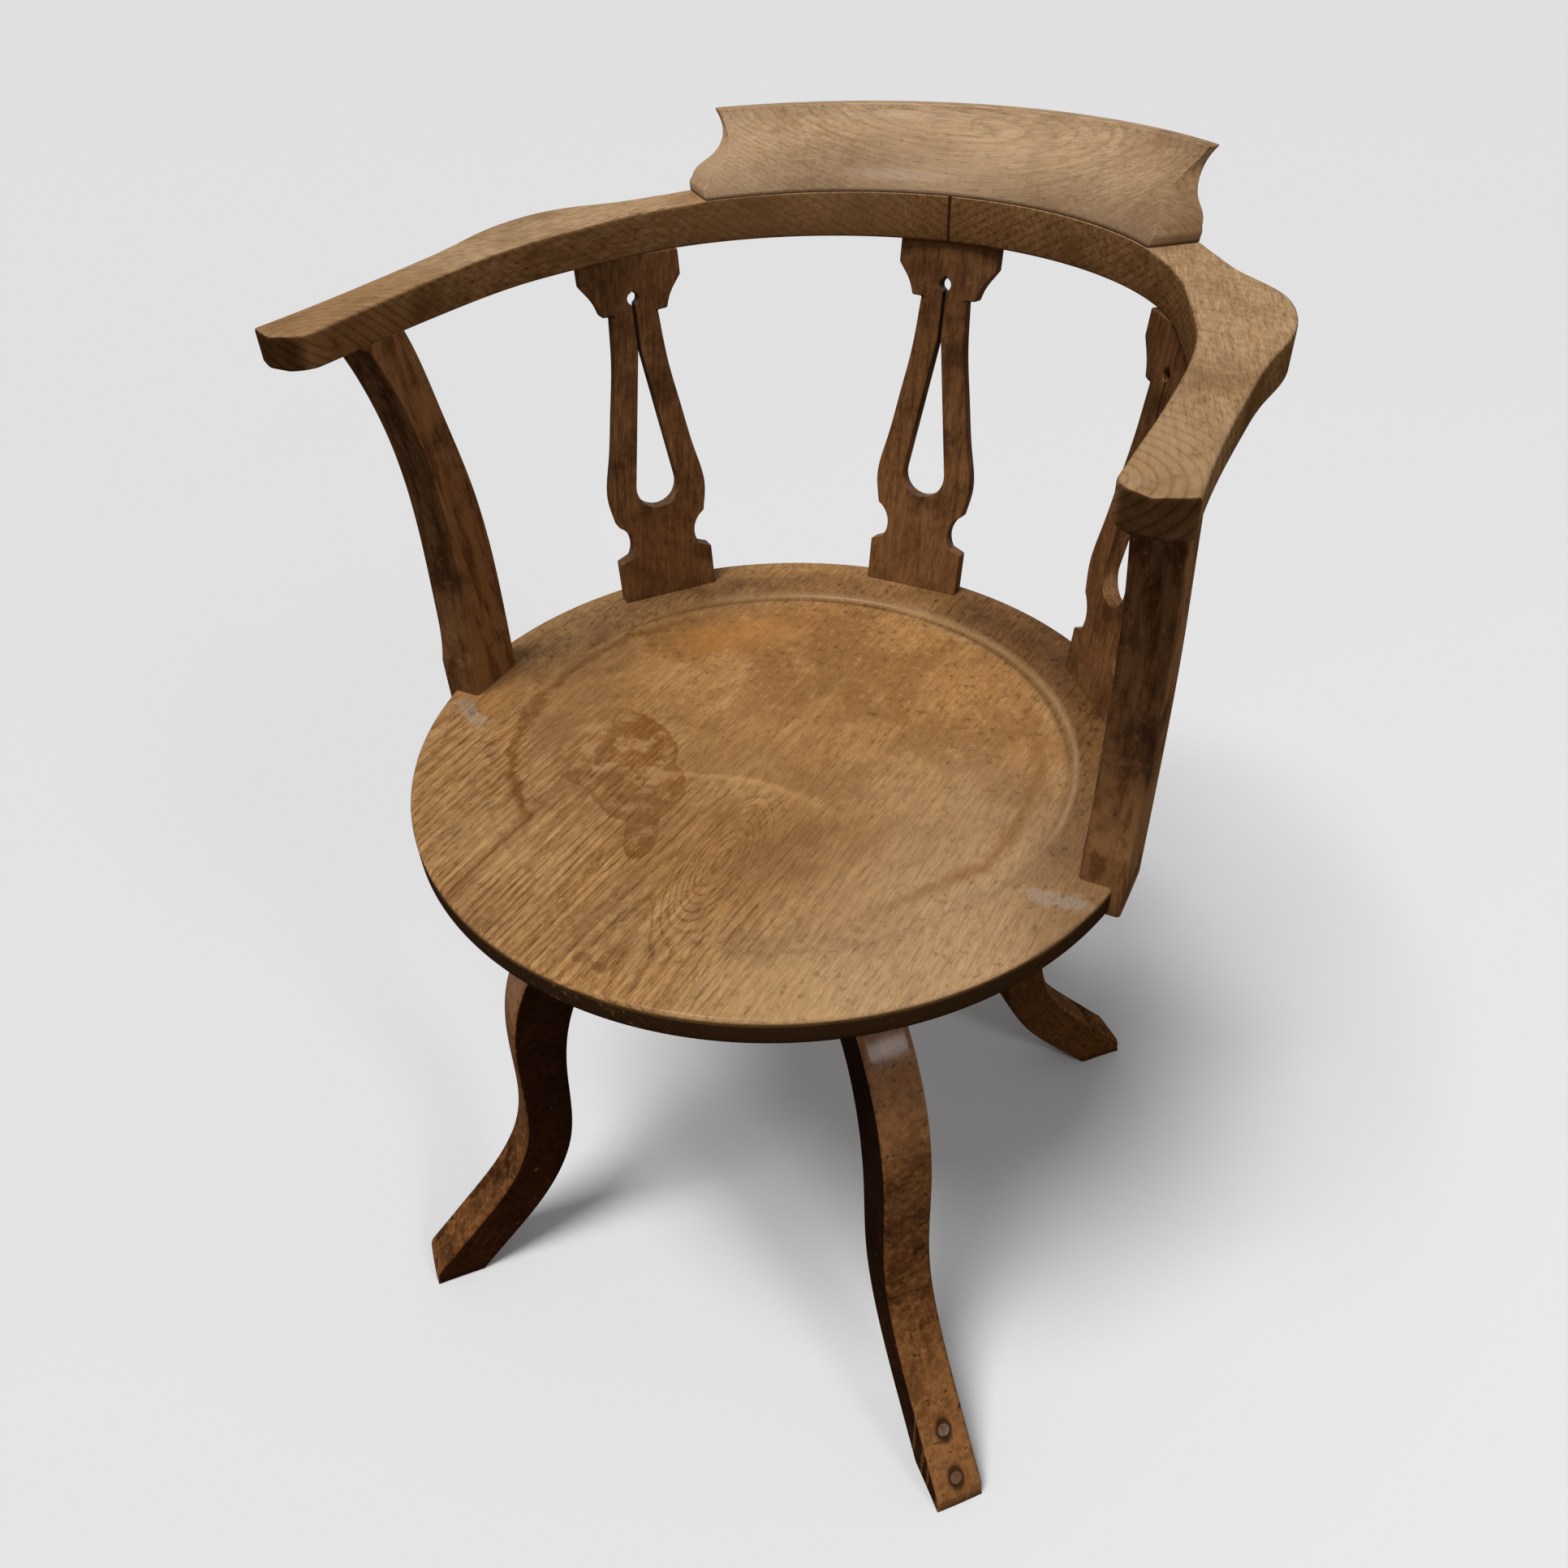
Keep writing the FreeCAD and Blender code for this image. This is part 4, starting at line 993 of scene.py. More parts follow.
def bow_oak(look, name, side):
    """Arm wood: pale worn tops, fronts and sides darkened by old polish and by painted shade, arches of grain at
    the tip.
    """
    f = Finish(name)
    centre = (0.207 * side, -0.102 + AXIS_Y, BOW_TOP * MM)
    oak = Oak(f, look, (-0.30 * side, 1.0, 0.0), centre)
    reach = oak.reach((0.0, 0.0), 0.72, 0.006)
    x, _, z = f.axes(oak.spot)
    _, ny, nz = oak.facing()
    sides = nz.fall(0.35, 0.8)
    tip = reach.fall(0.030, 0.075)
    oak.grow(reach + 0.0012, 0.0056, tip * 0.6 + sides * 0.45 + 0.25, 1.0 - tip * 0.65)
    oak.stain(oak.blotch.rise(0.5, 0.8) * 0.3, look.dark)
    oak.specks(0.28)
    # painted shade with old polish: fronts and sides darkened by the way they face
    oak.darken(sides, look.edge)
    oak.darken(sides * oak.cloud.rise(0.45, 0.62) * 0.3, BOW_CLOUD_WASH)
    oak.stain(sides * between(x, -0.16, -0.03, 0.03) * 0.3, look.mid)
    oak.darken((1.0 - sides) * reach.fall(0.03, 0.12) * 0.8, TIP_WASH)
    oak.darken(sides * z.fall(0.655, 0.680) * 0.5, BOW_LOW_WASH)
    oak.darken(reach.fall(0.030, 0.055) * ny.fall(-0.8, -0.4) * sides, NOSE_WASH)
    edges = oak.rubbed() * ny.rise(-0.9, -0.6) * oak.grit.rise(0.4, 0.6)
    oak.stain(edges * 0.35, look.light)
    oak.stain((x * x).root().fall(0.0006, 0.0016) * 0.9, look.pore)
    return oak.done()


class ChairBow(bpy.types.Operator):
    """Makes both halves of the bow that form arms and back"""

    bl_idname = "chair.bow"
    bl_label = "Bow"

    def execute(self, context):
        look = context.scene.chair_bow
        for name, side in (("right", 1), ("left", -1)):
            half = bow_half("bow_" + name, look, side)
            wood = bow_oak(look, "bow_oak_" + name, side)
            stand_for(half, "arm_bow_" + name, "seat", wood)
        return {"FINISHED"}


CREST_H = CREST_TOP - BOW_TOP - 0.1
CREST_LEAN = 46.0
CREST_LIP = 7.0
CREST_CUT = 29.0
CREST_CURL = 3.0
CREST_BEAD = 8.0
CREST_QUIRK = 2.5
CREST_ARRIS = 1.1
CREST_PALE = (0.54, 0.372, 0.232)
CREST_FOOT_SHADE = (0.40, 0.34, 0.28)
CREST_SMUDGE_WASH = (0.56, 0.47, 0.43)
CREST_END_SHADE = (0.56, 0.49, 0.41)
CREST_BACK_WASH = (0.64, 0.53, 0.42)


def crest_faces(steps):
    """Radius and height of the crest's ogee front and of its hollow back."""
    front = [
        (BOW_R, 0),
        (BOW_R + 0.23 * CREST_LEAN, 0.33 * CREST_H),
        (BOW_R + 0.72 * CREST_LEAN, 0.69 * CREST_H),
        (BOW_R + CREST_LEAN, CREST_H),
    ]
    back = [
        (BOW_R + BOW_W, 0),
        (BOW_R + BOW_W + 0.28 * CREST_LEAN, 0.68 * CREST_H),
        (BOW_R + CREST_LEAN + CREST_LIP, CREST_H),
    ]
    face = curve_through(front, np.array([0.25, 1]), np.array([0.35, 1]), 30)
    rear = curve_through(back, np.array([0.05, 1]), np.array([0.9, 1]), 40)
    z = np.linspace(0, CREST_H, steps)
    return np.interp(z, face[:, 1], face[:, 0]), np.interp(z, rear[:, 1], rear[:, 0]), z


def crest_cut(z):
    """How far the crest's end is cut in at a height: bead, quirk, then a hollow."""
    bead = CREST_BEAD * 2 / 3
    rise = curve_through(
        [
            (CREST_QUIRK, CREST_BEAD),
            (0.62 * CREST_CUT, 0.42 * CREST_H),
            (CREST_CUT, 0.72 * CREST_H),
            (CREST_CUT - CREST_CURL, CREST_H + 1),
        ],
        np.array([0.4, 1]),
        np.array([-0.5, 1]),
        30,
    )
    low = CREST_QUIRK * np.clip((z - bead) / (CREST_BEAD - bead), 0, 1) ** 1.5
    return np.where(z < CREST_BEAD, low, np.interp(z, rise[:, 1], rise[:, 0]))


def crest_mesh(name):
    """The crest: one section loop carried round the bow to ends cut by height."""
    steps = 34
    front, back, z = crest_faces(steps)
    lip = np.linspace(0, 1, 9)[1:-1]
    reach = np.concatenate([front, front[-1] + (back[-1] - front[-1]) * lip, back[::-1]])
    height = np.concatenate([z, np.full(len(lip), CREST_H), z[::-1]])
    foot = np.linspace(1, 0, 9)[1:-1]
    reach = np.concatenate([reach, front[0] + (back[0] - front[0]) * foot])
    height = np.concatenate([height, np.zeros(len(foot))])
    end = math.radians(CREST_HALF) - np.arcsin(crest_cut(height) / reach)
    u = np.linspace(-1, 1, 121)[:, None]
    turn = u * end[None, :]
    rows = on_bow(reach, turn, BOW_TOP + height)
    count, columns = rows.shape[:2]
    faces = [ring_faces(count, columns)]
    across = 7
    t = np.linspace(0, 1, across + 2)[:, None]
    points = [rows.reshape(-1, 3)]
    first = count * columns
    for side in (-1, 1):
        r = front * (1 - t) + back * t
        a = side * (math.radians(CREST_HALF) - np.arcsin(crest_cut(z)[None, :] / r))
        points.append(on_bow(r, a, BOW_TOP + z).reshape(-1, 3))
        faces.append(sheet_faces(across + 2, steps, first))
        first += (across + 2) * steps
    return mesh_of(name, np.concatenate(points), np.concatenate(faces))


def crest_oak(look):
    """Crest wood: arcs of grain near its lip, a pale middle, and painted shade on its foot and its right end."""
    f = Finish("crest_oak")
    oak = Oak(f, look, (1.0, 0.0, 0.0), (0.02, 0.20, BOW_TOP * MM))
    oak.grow(oak.reach((0.062, 0.02), 0.10, 0.02), 0.0036, 0.8)
    x, y, z = f.axes(oak.spot)
    # painted shade: the crest's lower part is darkened, as if in shadow
    wavy = (oak.blotch - 0.5) * 0.02
    low = (z + wavy).fall(0.691, 0.716)
    oak.darken(low * 0.9, CREST_FOOT_SHADE)
    oak.stain(oak.blotch.rise(0.5, 0.8) * 0.3, look.warm)
    smudge = oak.oval((-0.045, 0.706), (0.055, 0.014), 0, (0, 2)) + (oak.blotch - 0.5) * 1.4
    oak.darken(smudge.fall(0.4, 1.2) * y.rise(0.16, 0.20) * 0.7, CREST_SMUDGE_WASH)
    oak.stain(oak.cloud.rise(0.35, 0.6) * 0.3 + 0.25, CREST_PALE)
    # painted shade: the crest's right end is darker
    oak.darken(x.rise(0.10, 0.17) * 0.9, CREST_END_SHADE)
    oak.darken(oak.facing()[1].rise(0.2, 0.6), CREST_BACK_WASH)
    oak.specks(0.22)
    # painted shade: a dark line along the crest's foot where it meets the bow
    oak.stain(z.fall(0.6882, 0.6898) * 0.6, look.pore)
    oak.stain(oak.rubbed() * oak.grit.rise(0.35, 0.6) * 0.3, look.light)
    return oak.done()


class ChairCrest(bpy.types.Operator):
    """Makes the moulded crest rail"""

    bl_idname = "chair.crest"
    bl_label = "Crest"

    def execute(self, context):
        look = context.scene.chair_bow
        crest = crest_mesh("crest")
        soften(crest, CREST_ARRIS)
        stand_for(crest, "crest_rail", "seat", crest_oak(look))
        return {"FINISHED"}


# Splats

SPLAT_T = 11.0
SPLAT_HALF = 35.0
SPLAT_SEAT_SINK = 0.3
SPLAT_FOOT = 30.0
SPLAT_NECK = 33.5
SPLAT_STEP = 8.5
LEDGE_FALL = 0.3
SPLAT_PLACES = {
    "splat_centre": (210.0, 257.0, 0.0),
    "splat_left": (203.0, 226.0, 51.0),
    "splat_right": (203.0, 226.0, -51.0),
}
SPLAT_LINE = [
    (2.8, 0.0),
    (-0.2, 0.125),
    (4.5, 0.32),
    (10.5, 0.54),
    (16.4, 0.78),
    (19.0, 1.0),
]
SPLAT_EAR_LINE = [(12.5, 0.0), (10.5, 0.3), (8.5, 0.5), (1.0, 1.0)]
COLLAR_DROP = 35.5
EAR_DROP = 15.5
BELLY_UP = 58.0
TEAR_R = 15.5
TEAR_UP = 83.0
TEAR_TIP_UP = 176.0
SLIT_W = 2.4
EYE_D = 8.0
EYE_UP = 210.0


def arc_through(a, b, c, steps):
    """Points of the circle arc from a through b to c."""
    a, b, c = (np.asarray(p, float) for p in (a, b, c))
    rows = np.array([b - a, c - a]) * 2
    sums = np.array([b @ b - a @ a, c @ c - a @ a])
    middle = np.linalg.solve(rows, sums)
    turns = [math.atan2(*(p - middle)[::-1]) for p in (a, b, c)]
    while turns[1] < turns[0]:
        turns[1] += 2 * math.pi
    while turns[2] < turns[0]:
        turns[2] += 2 * math.pi
    if turns[1] > turns[2]:
        turns[2] -= 2 * math.pi
    at = np.linspace(turns[0], turns[2], steps)
    return middle + np.linalg.norm(a - middle) * np.stack([np.cos(at), np.sin(at)], axis=-1)


def splat_edge(length):
    """Half width of a splat by height, from foot to head.

    The foot and the head are straight. Between them come a slope, an arc for the waist
    and two smooth lines, for the belly and for the ears over the ledge.
    """
    h = SPLAT_HALF
    collar = length - COLLAR_DROP
    ear = length - EAR_DROP
    waist = (h - 11.5, 44.0)
    hollow = arc_through((h - SPLAT_STEP, SPLAT_NECK), waist, (h - 2.8, BELLY_UP), 14)
    belly = np.array([(h - i, BELLY_UP + s * (collar - BELLY_UP)) for i, s in SPLAT_LINE])
    belly = curve_through(belly, None, None, 12)
    flare = np.array([(h - i, collar + s * (ear - collar)) for i, s in SPLAT_EAR_LINE])
    flare = curve_through(flare, None, None, 5)
    flare[0, 1] += LEDGE_FALL
    foot = points_of(h, np.linspace(-SPLAT_SEAT_SINK, SPLAT_FOOT, 8))
    head = points_of(h - 1.0, np.linspace(ear, length, 6))
    slope = points_of(np.linspace(h, h - SPLAT_STEP, 5), np.linspace(SPLAT_FOOT, SPLAT_NECK, 5))
    return np.concatenate([foot, slope[1:], hollow[1:], belly[1:], flare, head[1:]])


def splat_hole(up):
    """Half width of the opening by height: teardrop, slit and eye."""
    slit = SLIT_W / 2
    drop = math.asin((TEAR_R - slit) / (TEAR_TIP_UP - TEAR_UP))
    side_up = TEAR_UP + TEAR_R * math.sin(drop)
    ball = np.sqrt(np.maximum(TEAR_R ** 2 - (up - TEAR_UP) ** 2, 0))
    taper = np.interp(up, [side_up, TEAR_TIP_UP], [TEAR_R * math.cos(drop), slit])
    eye = np.sqrt(np.maximum((EYE_D / 2) ** 2 - (up - EYE_UP) ** 2, 0))
    wide = np.where(up < side_up, ball, taper)
    wide = np.where(up > TEAR_TIP_UP, np.maximum(slit, eye), wide)
    return np.where((up < TEAR_UP - TEAR_R) | (up > EYE_UP + EYE_D / 2), 0.0, wide)


def splat_levels(length):
    """Heights of the stations, dense where the opening starts and ends."""
    edge = splat_edge(length)
    ball = TEAR_UP - TEAR_R * np.cos(np.linspace(0, math.pi / 2, 10))
    opens = -math.acos(SLIT_W / EYE_D)
    eye = EYE_UP + EYE_D / 2 * np.sin(np.linspace(opens, math.pi / 2, 10))
    extra = np.setdiff1d(np.concatenate([ball, eye]), edge[:, 1])
    extra = extra[np.abs(extra[:, None] - edge[None, :, 1]).min(axis=1) > 0.25]
    up = np.concatenate([edge[:, 1], extra])
    wide = np.concatenate([edge[:, 0], np.interp(extra, edge[:, 1], edge[:, 0])])
    order = np.argsort(up, kind="stable")
    return up[order], wide[order]


def splat_mesh(name, foot, head, turn):
    """A splat: level rows from the opening's edge to the outer edge, front and back."""
    rise = bow_underside(head * math.cos(math.radians(turn))) - SEAT_TOP
    length = math.hypot(rise, head - foot)
    lean = math.atan2(head - foot, rise)
    up, wide = splat_levels(length)
    hole = splat_hole(up)
    across = 6
    t = np.linspace(0, 1, across + 1)
    x = hole[:, None] + (wide - hole)[:, None] * t
    points = []
    faces = []
    first = 0
    n = len(up)
    w = across + 1
    k = np.arange(n - 1)
    whole = np.ones(n - 1, bool)
    pierced = (hole[1:] > 0) | (hole[:-1] > 0)
    j = np.arange(across)
    for side in (1, -1):
        for y in (0.0, SPLAT_T):
            lift = y * math.tan(lean)
            high = up + lift * np.clip((up - length + 20) / 20, 0, 1)
            high = high + lift * np.clip((20 - up) / 20, 0, 1)
            points.append(points_of(side * x, y, high[:, None]).reshape(-1, 3))
            faces.append(sheet_faces(n, w, first))
            first += n * w
        front = first - 2 * n * w
        back = first - n * w
        for column, keep in ((across, whole), (0, pierced)):
            a = front + k * w + column
            b = back + k * w + column
            wall = np.stack([a, a + w, b + w, b], axis=-1)
            faces.append(wall[keep])
        for row in (0, n - 1):
            a = front + row * w + j
            b = back + row * w + j
            faces.append(np.stack([a, a + 1, b + 1, b], axis=-1))
    local = np.concatenate(points)
    y = local[:, 1] * math.cos(lean) + local[:, 2] * math.sin(lean)
    z = -local[:, 1] * math.sin(lean) + local[:, 2] * math.cos(lean)
    leant = points_of(local[:, 0], y + foot, z + SEAT_TOP)
    return mesh_of(name, turned(leant, turn), np.concatenate(faces))


def splat_oak(look, name, turn):
    """Splat wood: dark and reddish, darkened towards the head with painted shade under the bow, lighter at the
    foot.
    """
    f = Finish(name)
    side = -math.sin(math.radians(turn))
    oak = Oak(f, look, (0.05, 0.1, 1.0), (side * 0.2, 0.1, 0.5))
    oak.grow(oak.reach((0.03, 0.09), 0.03, 0.03), 0.0046, 0.5)
    z = f.axes(oak.spot)[2]
    # painted shade under the bow darkens the head; the foot is lighter
    oak.stain(z.rise(0.50, 0.66) * 0.35, look.dark)
    oak.stain(z.fall(0.44, 0.52) * 0.2, look.light)
    oak.stain(oak.blotch.rise(0.45, 0.75) * 0.45, look.dark)
    oak.specks(0.3)
    oak.stain(oak.rubbed() * oak.blotch.rise(0.4, 0.6) * 0.3, look.light)
    return oak.done()


class ChairSplats(bpy.types.Operator):
    """Makes the three pierced splats"""

    bl_idname = "chair.splats"
    bl_label = "Splats"

    def execute(self, context):
        look = context.scene.chair_back
        for node, (foot, head, turn) in SPLAT_PLACES.items():
            splat = splat_mesh(node + "_board", foot, head, turn)
            soften(splat, look.arris / MM)
            stand_for(splat, node, "seat", splat_oak(look, node + "_oak", turn))
        return {"FINISHED"}


# Arm supports

SUPPORT_X = 205.5
SUPPORT_T = 25.5
SUPPORT_FRONT = -43.0
SUPPORT_BACK = 0.0
SUPPORT_HANG = 20.5
SUPPORT_TOE = 22.0
TOE_EASE = 1.5
SUPPORT_FRONT_LINE = [(5.0, 0.253), (6.0, 0.477), (2.0, 0.688), (-10.0, 0.878)]
SUPPORT_BACK_LINE = [(0.0, 0.127), (-1.0, 0.350), (-7.0, 0.570), (-20.0, 0.793)]
SUPPORT_TOPS = (-31.0, -40.0)
RAY_WASH = (0.45, 0.38, 0.32)


def support_edges(z):
    """Front and back of a support by height, each a smooth line through its table."""
    post = bow_underside(SUPPORT_FRONT) - SEAT_TOP
    over = BOW_TOP - ARM_TIP_T / 2
    front = [(SUPPORT_FRONT, SEAT_TOP + SUPPORT_TOE)]
    front += [(SUPPORT_FRONT + o, SEAT_TOP + s * post) for o, s in SUPPORT_FRONT_LINE]
    front.append((SUPPORT_FRONT + SUPPORT_TOPS[0], over))
    back = [(SUPPORT_BACK + o, SEAT_TOP + s * post) for o, s in SUPPORT_BACK_LINE]
    back.append((SUPPORT_BACK + SUPPORT_TOPS[1], over))
    front = curve_through(front, np.array([0.35, 1]), np.array([-0.8, 1]), 20)
    back = curve_through(back, np.array([0, 1.0]), np.array([-0.55, 1]), 20)
    return np.interp(z, front[:, 1], front[:, 0]), np.interp(z, back[:, 1], back[:, 0])


def support_mesh(name, look, side):
    """A support: level sections from the hanging toe to the arm, stepped at the seat."""
    top = bow_underside(SUPPORT_FRONT + SUPPORT_TOPS[0]) + 0.3
    low = SEAT_TOP - SUPPORT_HANG
    hang = np.linspace(low + TOE_EASE, SEAT_TOP, 9)
    z = np.concatenate([hang, np.linspace(SEAT_TOP, top, 90)])
    inner = np.where(np.arange(len(z)) < len(hang), LAP_X + 0.1, SUPPORT_X)
    front, back = support_edges(z)
    outer = SUPPORT_X + SUPPORT_T
    corners = cornered((inner, front), (outer, front), (outer, back), (inner, back))
    section = eased_quads(corners, 2.0, flat=5, turn=5, crown=0.1)
    rows = points_of(section[..., 0], section[..., 1], z[:, None])
    ends, moves = shrunk_end(section[0], TOE_EASE)
    toe = points_of(ends[..., 0], ends[..., 1], (low + TOE_EASE - moves)[:, None])
    rows = np.concatenate([toe[::-1], rows])
    return bar_mesh(name, rows * (side, 1, 1))


def support_oak(look, name, side):
    """Support wood: painted shade on the front but for its foot, which gets painted light, and painted light with
    brown and pale flecks beside.
    """
    f = Finish(name)
    oak = Oak(f, look, (0.0, -0.12, 1.0), (0.2 * side, -0.05, 0.5))
    oak.grow(oak.reach((0.02, 0.05), 0.03, 0.03), 0.0044, 0.5)
    front = oak.facing()[1].fall(-0.75, -0.3)
    # painted shade: the front face is darkened
    oak.stain(front * 0.65, look.dark)
    rays = f.noise(oak.grain, (20.0, 130.0, 130.0), 3.0, 0.6)
    z = f.axes(oak.spot)[2]
    # painted light: the sides are lighter, more so low down, and the front's foot is lighter as if lit from the
    # seat
    oak.stain((1.0 - front) * (z.fall(0.44, 0.54) * 0.35 + 0.3), look.light)
    oak.stain(front * z.fall(0.47, 0.53) * (0.5 + 0.2 * side), look.light)
    oak.stain(rays.rise(0.50, 0.60) * (1.0 - front * 0.7) * 0.6, look.light)
    oak.darken(rays.fall(0.38, 0.48) * 0.7, RAY_WASH)
    oak.stain(oak.blotch.rise(0.50, 0.66) * 0.65, look.dark)
    oak.specks(0.3)
    oak.stain(oak.rubbed() * oak.blotch.rise(0.35, 0.55) * 0.6, look.light)
    return oak.done()


class ChairSupports(bpy.types.Operator):
    """Makes the two bent arm supports"""

    bl_idname = "chair.supports"
    bl_label = "Arm supports"

    def execute(self, context):
        look = context.scene.chair_back
        for name, side in (("right", 1), ("left", -1)):
            post = support_mesh("support_" + name, look, side)
            wood = support_oak(look, "support_oak_" + name, side)
            stand_for(post, "arm_support_" + name, "seat", wood)
        return {"FINISHED"}


# Legs

HUB_R = 50.0
FOOT_R = 303.0
LEG_W = 33.0
LEG_END_H = 38.0
TOE_H = 12.0
TOE_LEN = 37.0
TOE_ROUND = 8.0
TOE_SCREWS = (0.2, 0.78)
SCREW_HEAD_R = 4.6
SCREW_DIP = 5.0
LEG_SIDE_SHADE = (0.46, 0.38, 0.33)
LEG_SHIN_WASH = (0.58, 0.52, 0.48)
LEG_GRIT_WASH = (0.50, 0.42, 0.38)
LEG_LINE = [
    (0.190, 0.936, 40.0),
    (0.391, 0.869, 41.0),
    (0.510, 0.737, 40.0),
    (0.553, 0.559, 34.5),
    (0.585, 0.349, 34.5),
    (0.696, 0.201, 35.5),
    (0.798, 0.117, 35.5),
]
LEG_TURNS = {
    "leg_back_right": 48,
    "leg_back_left": 138,
    "leg_front_left": 228,
    "leg_front_right": 318,
}


def leg_table_edge():
    """The last two points of the leg's upper edge, between which the screws stand."""
    upper, _ = leg_edges(1)
    return upper[-2], upper[-1]


def leg_edges(steps):
    """The leg's upper and lower edge in its own plane, out and up, point for point.

    The middle line runs through its table's shares, and each edge lies half the depth
    to its side, square to the line through the points before and after.
    """
    table = np.array(LEG_LINE)
    middle = points_of(HUB_R + table[:, 0] * (FOOT_R - HUB_R), table[:, 1] * LEG_TOP)
    start = np.array([[HUB_R, LEG_TOP - LEG_END_H / 2]])
    end = np.array([[FOOT_R - TOE_LEN / 2, 0.0]])
    middle = np.concatenate([start, middle, end])
    along = unit(middle[2:] - middle[:-2])
    across = points_of(-along[:, 1], along[:, 0]) * table[:, 2:] / 2
    outer = [(HUB_R, LEG_TOP), *(middle[1:-1] + across), (FOOT_R, TOE_H)]
    inner = [(HUB_R, LEG_TOP - LEG_END_H), *(middle[1:-1] - across), (FOOT_R - TOE_LEN, 0.0)]
    level = np.array([1.0, 0.0])
    upper = curve_through(outer, level, np.array([0.7, -0.75]), steps)
    lower = curve_through(inner, level, np.array([0.7, -0.8]), steps)
    return upper, lower


def leg_mesh(name, look, turn, screwed):
    """A sabre leg: rounded sections between its edges, closing to the toe's low edge.

    Round each toe screw the wood is worn to just under the screw's head: there, what
    stands above the head's plane is taken off, easing out to nothing.
    """
    upper, lower = leg_edges(24 if screwed else 12)
    toe = np.linspace(0, 1, 9)[1:, None]
    down = np.array([FOOT_R, TOE_H]) * (1 - toe) + np.array([FOOT_R, 0.0]) * toe
    sole = np.array([FOOT_R - TOE_LEN, 0.0]) * (1 - toe) + np.array([FOOT_R, 0.0]) * toe
    upper = np.concatenate([upper, down])
    lower = np.concatenate([lower, sole])
    # the corner over the toe is worn round: a parabola from one side of it to the other
    corner = np.array([FOOT_R, TOE_H])
    near = np.linalg.norm(upper - corner, axis=1) < TOE_ROUND
    t = np.linspace(0, 1, near.sum())[:, None]
    first, last = upper[near][[0, -1]]
    upper[near] = first * (1 - t) ** 2 + 2 * corner * t * (1 - t) + last * t * t
    depth = np.linalg.norm(upper - lower, axis=1)
    across = (upper - lower) / np.maximum(depth, 1e-6)[:, None]
    across[-1] = across[-2]
    flat = np.zeros_like(depth)
    half = LEG_W / 2
    corners = cornered((flat, half), (flat, -half), (depth, -half), (depth, half))
    worn = look.arris / MM
    section = eased_quads(corners, worn, flat=14 if screwed else 6, turn=6, crown=0.25)
    plane = lower[:, None] + section[:, :, :1] * across[:, None]
    rows = points_of(plane[..., 0], section[..., 1], np.maximum(plane[..., 1], 0.0))
    if screwed:
        ankle, toe = leg_table_edge()
        slope = unit(toe - ankle)
        rise = np.array([-slope[1], 0.0, slope[0]])
        for share_down in TOE_SCREWS:
            spot = ankle + (toe - ankle) * share_down
            off = rows - np.array([spot[0], 0.0, spot[1]])
            high = off @ rise
            away = np.linalg.norm(off - high[:, :, None] * rise, axis=-1)
            t = np.clip((away - SCREW_HEAD_R) / SCREW_DIP, 0, 1)
            share_off = (1 - t * t * (3 - 2 * t)) * (high > -6)
            rows = rows - (np.maximum(high + 0.35, 0) * share_off)[:, :, None] * rise
    return bar_mesh(name, turned(rows, turn))


